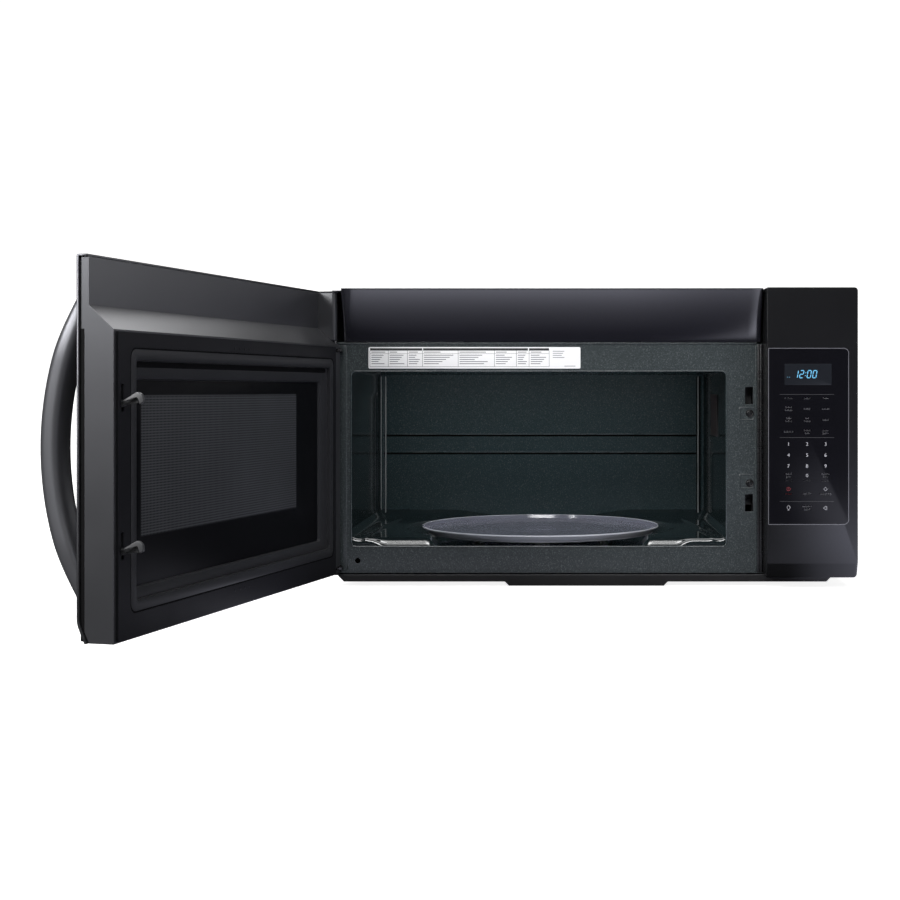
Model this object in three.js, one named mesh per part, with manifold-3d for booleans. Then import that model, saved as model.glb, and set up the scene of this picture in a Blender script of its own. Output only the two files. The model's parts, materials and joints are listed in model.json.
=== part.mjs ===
// Over-the-range microwave oven, shown with its side-hinged door open.
// Millimetres. X runs to the right as seen from the kitchen, Y runs to the wall, Z is up.
// The origin is the middle of the wall plate's rear face, the face that lies on the wall.

import * as THREE from "three";
import { mergeVertices } from "three/addons/utils/BufferGeometryUtils.js";
import Module from "manifold-3d";

const wasm = await Module();
wasm.setup();

// ---------------------------------------------------------------- driving sizes
// Overall
const BODY_WIDTH = 759;
const BODY_HEIGHT = 414.5; // case top to control panel bottom
const BODY_DEPTH = 385; // wall to the front plate of the cavity
const DOOR_DEPTH = 46; // front plate to the front of the closed door and of the panel
const DOOR_OPEN_DEG = 103.7; // how far the door stands open

// Sheet, clearances and the layout of the front
const SHEET = 1.2;
const FIT = 0.3; // gap between pieces that seat on each other
const WALL_PLATE = 1.6;
const LEFT_CHANNEL = 28.9; // case side to the cavity opening, on the hinge side
const RIGHT_BAY = 183.6; // cavity opening to case side, on the panel side
const SILL = 41.3; // panel bottom to the cavity opening
const HEAD = 118.4; // cavity opening to case top
const CAVITY_FLARE = 4; // the cavity walls stand this far outside the opening
const PANEL_WIDTH = 130;
const PANEL_GAP = 2; // between the closed door and the control panel
const REAR_AIR = 2; // rear panel to the back of the cavity

// Vent grille above the cavity
const VENT_HEIGHT = 75;
const VENT_LEAN = 30; // how far its top edge stands in front of its bottom edge
const VENT_WALL = 2.5;
const VENT_SLOT = 4;
const VENT_SLOT_LENGTH = 26;
const VENT_SLOT_PITCH = 40;

// Door
const DOOR_GAP = 1.5; // closed door to front plate
const DOOR_EDGE = 2; // door top and bottom inside the body's height
const SKIN = 2.5;
const SKIN_OVERHANG = 3; // skin beyond the door frame at the free edge
const DOOR_BAND_DEPTH = 13; // thickness of the door in front of the vent grille
const DOOR_BAND_HEIGHT = 54;
const DOOR_BEVEL_HEIGHT = 25.5;
const CHIN_HEIGHT = 21; // slanted lower edge of door and panel
const CHIN_DEPTH = 9;
const FRAME_WALL = 3;
const COVER = 2.5; // choke cover thickness
const HINGE_INSET = 6; // hinge axis from the case side
const HINGE_AHEAD = 10.5; // hinge axis in front of the front plate
const HINGE_PIN = 3; // radius
const HINGE_TAB = 3; // thickness
const HINGE_TAB_WIDTH = 14.5;
const HINGE_TOP_DROP = 86.7; // case top to the upper hinge tab's top
const HINGE_BOTTOM_RISE = 11.8; // panel bottom to the lower hinge tab's top
const HINGE_POCKET = 17; // radius kept free in the door round a hinge tab
const CHOKE_MARGIN = 17; // choke ring beyond the opening, top, bottom and latch side
const MESH_MARGIN = 9; // screen sheet beyond the choke ring
const WINDOW_MARGIN = 28; // front glass inside the door edges
const GLASS = 3;

// Handle
const HANDLE_LENGTH = 322;
const HANDLE_BOW = 42; // centre line in front of the door skin
const HANDLE_WIDTH = 32;
const HANDLE_THICK = 25;
const HANDLE_INSET = 27.5; // handle centre line from the door's free edge

// Latch
const LATCH_X_INSET = 17.5; // hook centre from the control panel
const HOOK_THICK = 3;
const HOOK_REACH = 22; // hook tip beyond the closed door's inner face
const HOOK_TOP_DROP = 153.5; // case top to the middle of the upper latch slot
const HOOK_SPACING = 156.5; // between the two hooks
const LATCH_SLOT_HEIGHT = 25;
const LATCH_SLOT_WIDTH = 11.5;
const LATCH_LIFT = 4.5;
const LATCH_BODY_DEPTH = 32;
const LATCH_BODY_WIDTH = 31;
const SWITCH_SIZE = { x: 10, y: 16, z: 28 };
const LEVER_THICK = 3;

// Turntable
const TRAY_GAP = 5; // tray rim to the cavity walls
const TRAY_THICK = 5;
const TRAY_RIM = 6.4; // rim above the tray's plate
const RECESS_RISE = -8.8; // floor recess above the opening's lower edge
const FLOOR_RISE = 11.4; // raised floor corners above the opening's lower edge
const ROLLER_RADIUS = 6;
const ROLLER_WIDTH = 8;
const ROLLER_TRACK = 112; // rollers' distance from the turntable axis
const RING_SECTION = 5;
const COUPLER_RADIUS = 14;
const TURNTABLE_MOTOR = { radius: 25, height: 17 };

// Underside
const PAN_DROP = 10.5; // pan below the panel bottom
const PAN_STEP = 6; // the middle of the pan below the rest
const PAN_LEFT_INSET = 9.5;
const PAN_RIGHT_INSET = 29;
const PAN_STEP_WIDTH = 226;
const PAN_STEP_SHIFT = -8; // its middle from the body's middle
const PAN_CHAMFER = 8;
const FILTER_SIZE = { x: 152, y: 290, z: 8 };
const FILTER_MARGIN = 22; // from the pan's ends
const LAMP_COVER_SIZE = { x: 96, y: 62, z: 2.5 };
const LAMP_COVER_SETBACK = 34; // from the front plate
const FILTER_SETBACK = 34;

// Air path at the top
const DUCT = { x: 254, y: 82.5 }; // the usual ten by three and a quarter inch duct
const DUCT_COLLAR = 22;
const DUCT_SETBACK = 28; // from the wall
const BLOWER_WALL = 1.5;
const WHEEL_RADIUS = 42;
const WHEEL_LENGTH = 78;
const WHEEL_BLADES = 14;
const BLOWER_MOTOR = { radius: 36, length: 56 };
const CHARCOAL_SIZE = { x: 260, y: 12, z: 62 };

const COLOURS = {
  blackSteel: [0x2b2b2e, 0.38, 0.6],
  caseSteel: [0x8f9396, 0.45, 0.7],
  enamel: [0x4b5053, 0.45, 0.1],
  blackPlastic: [0x17171a, 0.5, 0.0],
  gloss: [0x0b0b0e, 0.08, 0.0],
  glass: [0x8fa0ae, 0.05, 0.0],
  white: [0xe8e8e6, 0.6, 0.0],
  zinc: [0xa9acb0, 0.35, 0.9],
  copper: [0x8a4a26, 0.4, 0.8],
  aluminium: [0xc3c6c9, 0.35, 0.9],
  board: [0x2f5d3a, 0.6, 0.0],
  mica: [0x9a907c, 0.7, 0.0],
  purple: [0x3a3a44, 0.12, 0.2],
};

// ---------------------------------------------------------------- derived places
const left = -BODY_WIDTH / 2;
const right = BODY_WIDTH / 2;
const top = BODY_HEIGHT / 2;
const bottom = -BODY_HEIGHT / 2;
const plateY = -BODY_DEPTH;
const frontY = plateY - DOOR_DEPTH;
const panelLeft = right - PANEL_WIDTH;

const opening = {
  x0: left + LEFT_CHANNEL,
  x1: right - RIGHT_BAY,
  z0: bottom + SILL,
  z1: top - HEAD,
};
const rearPanelY = -WALL_PLATE - SHEET;
const cavity = {
  x0: opening.x0 - CAVITY_FLARE,
  x1: opening.x1 + CAVITY_FLARE,
  y0: plateY + SHEET + FIT,
  y1: rearPanelY - REAR_AIR - SHEET,
  z0: opening.z0 + RECESS_RISE,
  z1: opening.z1 + 2.5,
};
const turntable = {
  x: (opening.x0 + opening.x1) / 2,
  y: (cavity.y0 + cavity.y1) / 2,
};
const trayRadius =
  Math.min(cavity.y1 - cavity.y0, opening.x1 - opening.x0) / 2 - TRAY_GAP;
const hinge = { x: left + HINGE_INSET, y: plateY - HINGE_AHEAD };

// The closed door
const door = {
  x0: left + 1,
  x1: panelLeft - PANEL_GAP,
  y0: frontY,
  y1: plateY - DOOR_GAP,
  z0: bottom + DOOR_EDGE,
  z1: top - DOOR_EDGE,
};
const choke = {
  x0: opening.x0 - 1.5,
  x1: opening.x1 + CHOKE_MARGIN,
  z0: opening.z0 - CHOKE_MARGIN / 1.5,
  z1: opening.z1 + CHOKE_MARGIN,
};
const frameInnerY = door.y1 - COVER - FIT; // door frame's face under the choke cover
const coverReach = 8; // the choke cover's rim runs this far into the door
const meshY = frameInnerY - coverReach;

const hookX = panelLeft - LATCH_X_INSET;
const hookHeights = [top - HOOK_TOP_DROP, top - HOOK_TOP_DROP - HOOK_SPACING];

// ---------------------------------------------------------------- solids
function solid(geometry) {
  const bare = geometry.clone();
  bare.deleteAttribute("normal");
  bare.deleteAttribute("uv");
  const merged = mergeVertices(bare, 1e-4);
  const triVerts = new Uint32Array(merged.index.array);
  const make = () =>
    new wasm.Manifold(
      new wasm.Mesh({
        numProp: 3,
        vertProperties: merged.attributes.position.array,
        triVerts,
      }),
    );
  const made = make();
  if (made.volume() > 0) return made;
  triVerts.reverse(); // a profile drawn the other way round
  return make();
}

const box = (x0, x1, y0, y1, z0, z1) =>
  solid(
    new THREE.BoxGeometry(x1 - x0, y1 - y0, z1 - z0).translate(
      (x0 + x1) / 2,
      (y0 + y1) / 2,
      (z0 + z1) / 2,
    ),
  );

// A straight prism: the outline lies square to the axis, in (y, z), (x, z) or (x, y).
const TURNS = {
  x: new THREE.Matrix4().set(0, 0, 1, 0, 1, 0, 0, 0, 0, 1, 0, 0, 0, 0, 0, 1),
  y: new THREE.Matrix4().set(1, 0, 0, 0, 0, 0, 1, 0, 0, 1, 0, 0, 0, 0, 0, 1),
  z: new THREE.Matrix4(),
};
function prism(axis, outline, from, to, curveSegments = 6) {
  const shape = outline instanceof THREE.Shape
    ? outline
    : new THREE.Shape(outline.map(([u, v]) => new THREE.Vector2(u, v)));
  const geometry = new THREE.ExtrudeGeometry(shape, {
    depth: to - from,
    bevelEnabled: false,
    curveSegments,
  });
  geometry.translate(0, 0, from).applyMatrix4(TURNS[axis]);
  return solid(geometry);
}

function rod(axis, at, from, to, radius, sides = 24) {
  const circle = new THREE.Shape().absarc(at[0], at[1], radius, 0, 2 * Math.PI);
  return prism(axis, circle, from, to, sides / 2); // an arc gets two sides per segment
}

const roundedRect = (u0, u1, v0, v1, r) => {
  const s = new THREE.Shape();
  s.absarc(u1 - r, v1 - r, r, 0, Math.PI / 2);
  s.absarc(u0 + r, v1 - r, r, Math.PI / 2, Math.PI);
  s.absarc(u0 + r, v0 + r, r, Math.PI, 1.5 * Math.PI);
  s.absarc(u1 - r, v0 + r, r, 1.5 * Math.PI, 2 * Math.PI);
  return s;
};

// A turned piece about an upright axis; profile points are (radius, height).
const turned = (profile, x, y, sides = 32) =>
  solid(
    new THREE.LatheGeometry(
      profile.map(([r, h]) => new THREE.Vector2(r, h)),
      sides,
    )
      .rotateX(Math.PI / 2)
      .translate(x, y, 0),
  );

const join = (...parts) => parts.reduce((a, b) => a.add(b));
const cut = (body, ...tools) => tools.reduce((a, b) => a.subtract(b), body);

const part = new THREE.Group();
const doorGroup = new THREE.Group();

function add(name, body, colour, group = part) {
  const m = body.getMesh();
  const indexed = new THREE.BufferGeometry();
  indexed.setAttribute("position", new THREE.BufferAttribute(m.vertProperties, 3));
  indexed.setIndex(new THREE.BufferAttribute(m.triVerts, 1));
  const geometry = indexed.toNonIndexed();
  geometry.computeVertexNormals();
  const [color, roughness, metalness] = COLOURS[colour];
  const mesh = new THREE.Mesh(
    geometry,
    new THREE.MeshStandardMaterial({ color, roughness, metalness }),
  );
  mesh.name = name;
  group.add(mesh);
}

// ---------------------------------------------------------------- case and mounting
// Wall plate: a pressed sheet with two windows and two tabs at its foot that carry the oven.
const WALL_PLATE_INSET = 8;
const WALL_WINDOW = { x: 210, z: 150 };
const TAB = { x: 40, y: 10, z: 3 };
const tabX = [-1, 1].map((side) => side * (right - 120));
const tabZ = bottom + 22;

function wallPlate() {
  const sheet = box(
    left + WALL_PLATE_INSET,
    right - WALL_PLATE_INSET,
    -WALL_PLATE,
    0,
    bottom + WALL_PLATE_INSET,
    top - 70,
  );
  const windows = [-1, 1].map((side) => {
    const x = (side * BODY_WIDTH) / 4;
    return box(
      x - WALL_WINDOW.x / 2,
      x + WALL_WINDOW.x / 2,
      -2 * WALL_PLATE,
      WALL_PLATE,
      -WALL_WINDOW.z / 2,
      WALL_WINDOW.z / 2,
    );
  });
  const tabs = tabX.map((x) =>
    box(
      x - TAB.x / 2,
      x + TAB.x / 2,
      -WALL_PLATE - TAB.y,
      -WALL_PLATE / 2,
      tabZ - TAB.z,
      tabZ,
    ),
  );
  return join(cut(sheet, ...windows), ...tabs);
}

function rearPanel() {
  const sheet = box(
    left + SHEET + FIT,
    right - SHEET - FIT,
    rearPanelY,
    -WALL_PLATE,
    bottom + FIT,
    top - SHEET - FIT,
  );
  const slots = tabX.map((x) =>
    box(
      x - TAB.x / 2 - 1,
      x + TAB.x / 2 + 1,
      rearPanelY - 1,
      0,
      tabZ - TAB.z - 1,
      tabZ + 1,
    ),
  );
  return cut(sheet, ...slots);
}

// Exhaust opening in the case top, centred across the body.
const duct = {
  x0: -DUCT.x / 2,
  x1: DUCT.x / 2,
  y0: -DUCT_SETBACK - DUCT.y,
  y1: -DUCT_SETBACK,
};
const BUSH = { x: right - 80, y: -60, radius: 11 };
const CABINET_BOLT = { x: 300, y: -210, radius: 4 };

// One bent sheet: both sides and the top.
function outerCase() {
  const outer = box(left, right, plateY, -WALL_PLATE, bottom, top);
  const inner = box(
    left + SHEET,
    right - SHEET,
    plateY - 1,
    1,
    bottom - 1,
    top - SHEET,
  );
  const exhaust = box(
    duct.x0 + SHEET,
    duct.x1 - SHEET,
    duct.y0 + SHEET,
    duct.y1 - SHEET,
    top - 5,
    top + 5,
  );
  const cordHole = rod("z", [BUSH.x, BUSH.y], top - 5, top + 5, BUSH.radius);
  const bolts = [-1, 1].map((side) =>
    rod(
      "z",
      [side * CABINET_BOLT.x, CABINET_BOLT.y],
      top - 5,
      top + 5,
      CABINET_BOLT.radius,
      12,
    ),
  );
  return cut(outer, inner, exhaust, cordHole, ...bolts);
}

function cordBush() {
  const wide = BUSH.radius + 3;
  const narrow = BUSH.radius - FIT;
  const bore = BUSH.radius - 4;
  const profile = [
    [bore, top - SHEET - 6],
    [narrow, top - SHEET - 6],
    [narrow, top + FIT],
    [wide, top + FIT],
    [wide, top + 4],
    [bore, top + 4],
    [bore, top - SHEET - 6],
  ];
  return turned(profile, BUSH.x, BUSH.y, 20);
}

// Underside: a flat flange with a shallow pan hanging from it and a lower step in the middle.
const pan = {
  x0: left + PAN_LEFT_INSET,
  x1: right - PAN_RIGHT_INSET,
  y0: plateY,
  y1: -WALL_PLATE,
  z0: bottom - PAN_DROP,
};
const step = {
  x0: PAN_STEP_SHIFT - PAN_STEP_WIDTH / 2,
  x1: PAN_STEP_SHIFT + PAN_STEP_WIDTH / 2,
  z0: pan.z0 - PAN_STEP,
};
const filterX = [
  pan.x0 + FILTER_MARGIN + FILTER_SIZE.x / 2,
  pan.x1 - FILTER_MARGIN - FILTER_SIZE.x / 2,
];
const filterY0 = plateY + FILTER_SETBACK;
const lampCover = {
  x0: PAN_STEP_SHIFT - LAMP_COVER_SIZE.x / 2,
  x1: PAN_STEP_SHIFT + LAMP_COVER_SIZE.x / 2,
  y0: plateY + LAMP_COVER_SETBACK,
  y1: plateY + LAMP_COVER_SETBACK + LAMP_COVER_SIZE.y,
};

function panOutline(inset) {
  const c = PAN_CHAMFER;
  const s = PAN_STEP;
  const floor = pan.z0 + inset;
  const rim = bottom - SHEET;
  return [
    [pan.x0 + inset, rim + (inset > 0 ? 1 : 0)],
    [pan.x0 + inset, rim - 1],
    [pan.x0 + c + inset, floor],
    [step.x0 - s + inset, floor],
    [step.x0 + inset, step.z0 + inset],
    [step.x1 - inset, step.z0 + inset],
    [step.x1 + s - inset, floor],
    [pan.x1 - c - inset, floor],
    [pan.x1 - inset, rim - 1],
    [pan.x1 - inset, rim + (inset > 0 ? 1 : 0)],
  ];
}

// Flat plate under the cavity and the machine bay, with air holes at its left and right ends.
const AIR_HOLE = { y0: -330, y1: -90 };
function basePlate() {
  const sheet = box(left, right, pan.y0, pan.y1, bottom - SHEET, bottom);
  const spans = [
    [pan.x0 + 4, cavity.x0 - SHEET - 6],
    [right - PAN_RIGHT_INSET - 26, right - PAN_RIGHT_INSET - 6],
  ];
  const holes = spans.map(([x0, x1]) =>
    box(
      x0,
      x1,
      Math.max(AIR_HOLE.y0, plateY + 20),
      AIR_HOLE.y1,
      bottom - 5,
      bottom + 5,
    ),
  );
  return cut(sheet, ...holes);
}

function basePan() {
  const shell = prism("y", panOutline(0), pan.y0, pan.y1);
  const hollow = prism("y", panOutline(SHEET), pan.y0 + SHEET, pan.y1 - SHEET);
  const filterHoles = filterX.map((x) =>
    box(
      x - FILTER_SIZE.x / 2 - FIT,
      x + FILTER_SIZE.x / 2 + FIT,
      filterY0 - FIT,
      filterY0 + FILTER_SIZE.y + FIT,
      pan.z0 - 1,
      pan.z0 + SHEET + 1,
    ),
  );
  const lampHole = box(
    lampCover.x0 - FIT,
    lampCover.x1 + FIT,
    lampCover.y0 - FIT,
    lampCover.y1 + FIT,
    step.z0 - 1,
    step.z0 + SHEET + 1,
  );
  return cut(shell, hollow, lampHole, ...filterHoles);
}

// Grease filter: an aluminium frame round a thin mesh, with a pull tab at its front.
function greaseFilter(x) {
  const { x: w, y: l, z: h } = FILTER_SIZE;
  const z0 = pan.z0;
  const x0 = x - w / 2;
  const y0 = filterY0;
  const rim = 6;
  const frame = box(x0, x0 + w, y0, y0 + l, z0, z0 + h);
  const meshLow = 3;
  const meshTop = 4.5;
  const below = box(
    x0 + rim,
    x0 + w - rim,
    y0 + rim,
    y0 + l - rim,
    z0 - 1,
    z0 + meshLow,
  );
  const above = box(
    x0 + rim,
    x0 + w - rim,
    y0 + rim,
    y0 + l - rim,
    z0 + meshTop,
    z0 + h + 1,
  );
  const pull = box(x - 12, x + 12, y0 + rim - 1, y0 + rim + 9, z0, z0 + meshLow + 1);
  return join(cut(frame, below, above), pull);
}

function cooktopLampCover() {
  const { z: thick } = LAMP_COVER_SIZE;
  const lens = box(
    lampCover.x0,
    lampCover.x1,
    lampCover.y0,
    lampCover.y1,
    step.z0,
    step.z0 + thick,
  );
  const rim = 8;
  const dish = box(
    lampCover.x0 + rim,
    lampCover.x1 - rim,
    lampCover.y0 + rim,
    lampCover.y1 - rim,
    step.z0 + 1.2,
    step.z0 + thick + 1,
  );
  return cut(lens, dish);
}

// Flat lamp module that lies on the pan's step above the lens, with a shallow row of lamps.
function cooktopLamp() {
  const x = PAN_STEP_SHIFT;
  const z0 = step.z0 + SHEET + FIT;
  const y0 = lampCover.y1 - 12;
  const foot = box(x - 30, x + 30, lampCover.y1 + 2, lampCover.y1 + 20, z0, z0 + 9);
  const board = box(x - 30, x + 30, y0 - 30, lampCover.y1 + 3, z0 + 6, z0 + 9);
  const lamps = [-1, 0, 1].map((i) =>
    box(x + i * 18 - 4, x + i * 18 + 4, y0 - 20, y0 - 12, z0 + 3, z0 + 7),
  );
  return join(foot, board, ...lamps);
}

// ---------------------------------------------------------------- cavity
const latchSlots = hookHeights.map((z) => ({
  x0: hookX - LATCH_SLOT_WIDTH + HOOK_THICK / 2 + 1.8,
  x1: hookX + HOOK_THICK / 2 + 1.8,
  z0: z - LATCH_SLOT_HEIGHT / 2,
  z1: z + LATCH_SLOT_HEIGHT / 2,
}));
const hingeTabTops = [top - HINGE_TOP_DROP, bottom + HINGE_BOTTOM_RISE];
const plateTop = top - VENT_HEIGHT - 3;
const PLATE_FLANGE = 20;

function frontPlate() {
  const x0 = left + SHEET + FIT;
  const x1 = panelLeft - FIT;
  const z0 = bottom + DOOR_EDGE;
  const face = box(x0, x1, plateY, plateY + SHEET, z0, plateTop);
  const flange = box(
    x0,
    x1,
    plateY,
    plateY + PLATE_FLANGE,
    plateTop - SHEET,
    plateTop,
  );
  const mouth = prism(
    "y",
    roundedRect(opening.x0, opening.x1, opening.z0, opening.z1, 6),
    plateY - 5,
    plateY + 5,
  );
  const latchHoles = latchSlots.map((s) =>
    box(s.x0, s.x1, plateY - 5, plateY + 5, s.z0, s.z1),
  );
  const hingeHoles = hingeTabTops.map((z) =>
    box(
      hinge.x - HINGE_TAB_WIDTH / 4 - 1,
      hinge.x + HINGE_TAB_WIDTH + 3,
      plateY - 5,
      plateY + 5,
      z - HINGE_TAB - 2,
      z + 2,
    ),
  );
  const drain = rod(
    "y",
    [opening.x0 + 9, bottom + 20],
    plateY - 5,
    plateY + 5,
    4,
    16,
  );
  return cut(join(face, flange), mouth, ...latchHoles, ...hingeHoles, drain);
}

// The two side walls and the ceiling in one bent sheet.
function cavityWrapper() {
  const outer = box(
    cavity.x0 - SHEET,
    cavity.x1 + SHEET,
    cavity.y0,
    cavity.y1 - FIT,
    cavity.z0,
    cavity.z1 + SHEET,
  );
  const inner = box(
    cavity.x0,
    cavity.x1,
    cavity.y0 - 1,
    cavity.y1 + 1,
    cavity.z0 - 1,
    cavity.z1,
  );
  return cut(outer, inner);
}

const SHELF_BAND = { rise: 123.5, height: 26, depth: 1 }; // pressed band round the cavity walls

function cavityBack() {
  const sheet = box(
    cavity.x0 - SHEET,
    cavity.x1 + SHEET,
    cavity.y1,
    cavity.y1 + SHEET,
    cavity.z0,
    cavity.z1 + SHEET,
  );
  const bandZ = opening.z0 + SHELF_BAND.rise;
  const band = box(
    cavity.x0 + 6,
    cavity.x1 - 6,
    cavity.y1 - SHELF_BAND.depth,
    cavity.y1 + SHEET / 2,
    bandZ,
    bandZ + SHELF_BAND.height,
  );
  return join(sheet, band);
}

// Pressed floor: raised corners round a disc-shaped recess that runs out to the front.
const floorTop = opening.z0 + FLOOR_RISE;
const recessRadius = trayRadius + 2.5;
const RECESS_MOUTH = 280;

function recessSolid(grow, z0, z1) {
  const disc = rod("z", [turntable.x, turntable.y], z0, z1, recessRadius + grow, 48);
  const mouth = box(
    turntable.x - RECESS_MOUTH / 2 - grow,
    turntable.x + RECESS_MOUTH / 2 + grow,
    cavity.y0 - 1,
    turntable.y,
    z0,
    z1,
  );
  return join(disc, mouth);
}

function cavityFloor() {
  const x0 = cavity.x0 + FIT;
  const x1 = cavity.x1 - FIT;
  const y0 = cavity.y0;
  const y1 = cavity.y1 - FIT;
  const slab = box(x0, x1, y0, y1, cavity.z0 - SHEET, floorTop);
  const above = recessSolid(0, cavity.z0, floorTop + 1);
  const below = cut(
    box(x0 - 1, x1 + 1, y0 - 1, y1 + 1, cavity.z0 - 5, floorTop - SHEET),
    recessSolid(SHEET, cavity.z0 - 6, floorTop),
  );
  const shaftHole = rod(
    "z",
    [turntable.x, turntable.y],
    cavity.z0 - 5,
    cavity.z0 + 5,
    8,
    20,
  );
  return cut(slab, above, below, shaftHole);
}

const WAVEGUIDE = { x: 32, y: 110, z: 74, setback: 130, drop: 30 };
const waveguide = {
  x0: cavity.x1 + SHEET,
  x1: cavity.x1 + SHEET + WAVEGUIDE.x,
  y0: -WAVEGUIDE.setback - WAVEGUIDE.y,
  y1: -WAVEGUIDE.setback,
  z0: opening.z1 - WAVEGUIDE.drop - WAVEGUIDE.z,
  z1: opening.z1 - WAVEGUIDE.drop,
};
const ANTENNA_RADIUS = 10;
const antennaAt = {
  y: waveguide.y0 + 32,
  z: (waveguide.z0 + waveguide.z1) / 2,
};

// Shallow duct on the right wall, open towards the cavity, with a hole for the antenna.
function waveguideDuct() {
  const t = SHEET;
  const w = waveguide;
  const shell = box(w.x0, w.x1, w.y0, w.y1, w.z0, w.z1);
  const hollow = box(w.x0 - 1, w.x1 - t, w.y0 + t, w.y1 - t, w.z0 + t, w.z1 - t);
  const hole = rod(
    "x",
    [antennaAt.y, antennaAt.z],
    w.x1 - 5,
    w.x1 + 5,
    ANTENNA_RADIUS + 2,
    20,
  );
  return cut(shell, hollow, hole);
}

function waveguideCover() {
  const thick = 0.8;
  return box(
    cavity.x1 - FIT - thick,
    cavity.x1 - FIT,
    waveguide.y0 + 4,
    waveguide.y1 - 4,
    waveguide.z0 + 4,
    waveguide.z1 - 4,
  );
}

function cavityLamp() {
  const x0 = cavity.x1 + SHEET;
  const y = plateY + 84;
  const z = opening.z1 - 26;
  const holder = box(x0, x0 + 14, y - 15, y + 15, z - 12, z + 12);
  const bulb = rod("x", [y, z], x0 + 13, x0 + 46, 8, 12);
  return join(holder, bulb);
}

// ---------------------------------------------------------------- turntable
const recessZ = cavity.z0;
const trayZ = recessZ + 2 * ROLLER_RADIUS + FIT; // underside of the glass
const motorTop = cavity.z0 - SHEET;

function turntableMotor() {
  const { x, y } = turntable;
  const { radius, height } = TURNTABLE_MOTOR;
  const can = rod("z", [x, y], motorTop - height, motorTop, radius, 24);
  const shaft = rod("z", [x, y], motorTop - 1, motorTop + 7, 3, 12);
  const ear = box(x - radius - 8, x + radius + 8, y - 6, y + 6, motorTop - 2, motorTop);
  return join(can, shaft, ear);
}

function turntableCoupler() {
  const { x, y } = turntable;
  const z0 = cavity.z0 + FIT + 0.2;
  const z1 = trayZ - FIT;
  const hub = rod("z", [x, y], z0, z1, 7.5, 20);
  const lobes = [0, 1, 2].map((i) => {
    const a = (i * 2 * Math.PI) / 3;
    const reach = COUPLER_RADIUS;
    return rod(
      "z",
      [x + Math.cos(a) * (reach - 4), y + Math.sin(a) * (reach - 4)],
      z1 - 5,
      z1,
      4,
      12,
    );
  });
  const webs = [0, 1, 2].map((i) =>
    solid(
      new THREE.BoxGeometry(COUPLER_RADIUS - 4, 5, 5)
        .translate((COUPLER_RADIUS - 4) / 2, 0, 0)
        .rotateZ((i * 2 * Math.PI) / 3)
        .translate(x, y, z1 - 2.5),
    ),
  );
  const bore = rod("z", [x, y], z0 - 1, motorTop + 7 + FIT, 3 + FIT, 12);
  return cut(join(hub, ...lobes, ...webs), bore);
}

// Ring with three stub axles; each roller turns on its stub.
const rollerAngles = [90, 210, 330].map((d) => (d * Math.PI) / 180);
const rollerZ = recessZ + ROLLER_RADIUS + FIT / 2;
const AXLE_RADIUS = 1.6;
const AXLE_LENGTH = ROLLER_WIDTH + 1;
const ringRadius = ROLLER_TRACK - ROLLER_WIDTH / 2 - 3;

const radialRod = (angle, from, to, radius, sides) =>
  solid(
    new THREE.CylinderGeometry(radius, radius, to - from, sides)
      .rotateZ(Math.PI / 2)
      .translate((from + to) / 2, 0, 0)
      .rotateZ(angle)
      .translate(turntable.x, turntable.y, rollerZ),
  );

function rollerRing() {
  const half = RING_SECTION / 2;
  const ring = turned(
    [
      [ringRadius - half, rollerZ - half],
      [ringRadius + half, rollerZ - half],
      [ringRadius + half, rollerZ + half],
      [ringRadius - half, rollerZ + half],
      [ringRadius - half, rollerZ - half],
    ],
    turntable.x,
    turntable.y,
    48,
  );
  const axles = rollerAngles.map((a) =>
    radialRod(a, ringRadius, ringRadius + half + AXLE_LENGTH, AXLE_RADIUS, 12),
  );
  return join(ring, ...axles);
}

function roller(angle) {
  const start = ringRadius + RING_SECTION / 2 + 0.5;
  const wheel = radialRod(angle, start, start + ROLLER_WIDTH, ROLLER_RADIUS, 20);
  const bore = radialRod(
    angle,
    start - 1,
    start + ROLLER_WIDTH + 1,
    AXLE_RADIUS + FIT,
    12,
  );
  return cut(wheel, bore);
}

function glassTray() {
  const r = trayRadius;
  const z = trayZ;
  const t = TRAY_THICK;
  const rim = z + t + TRAY_RIM;
  const profile = [
    [0, z],
    [r - 34, z],
    [r - 14, z + 2],
    [r, rim - 3],
    [r, rim],
    [r - 3, rim],
    [r - 16, z + t + 1],
    [r - 36, z + t],
    [0, z + t],
  ];
  return turned(profile, turntable.x, turntable.y, 48);
}

// ---------------------------------------------------------------- air path above the cavity
const grille = {
  x0: left + 17,
  x1: panelLeft - PANEL_GAP - 0.5,
  yTop: frontY + DOOR_BAND_DEPTH + 3,
  z0: top - VENT_HEIGHT,
};

// Leaning face with a slotted shelf along its top and a cheek at each end.
function ventGrille() {
  const { x0, x1, yTop, z0 } = grille;
  const t = VENT_WALL;
  const yBack = plateY - FIT;
  const outline = [
    [yTop, top],
    [yBack - t, z0],
    [yBack, z0],
    [yBack, z0 + t],
    [yTop + t * 1.4, top - t],
    [yBack, top - t],
    [yBack, top],
  ];
  const sheet = prism("x", outline, x0, x1);
  const cheekOutline = [
    [yTop + 1, top - 1],
    [yBack - 1, z0 + 1],
    [yBack, z0 + 1],
    [yBack, top - 1],
  ];
  const cheeks = [x0, x1 - t].map((x) => prism("x", cheekOutline, x, x + t));
  const shelf = [yTop + 6, yBack - 3];
  const count = Math.floor((x1 - x0 - 20) / VENT_SLOT_PITCH);
  const slots = Array.from({ length: count }, (_, i) => {
    const x = (x0 + x1) / 2 + (i - (count - 1) / 2) * VENT_SLOT_PITCH;
    const half = VENT_SLOT_LENGTH / 2;
    return [0, 1].map((row) => {
      const y = shelf[0] + row * 3 * VENT_SLOT;
      return box(x - half, x + half, y, y + VENT_SLOT, top - 2 * t, top + 1);
    });
  }).flat();
  return cut(join(sheet, ...cheeks), ...slots);
}

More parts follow.
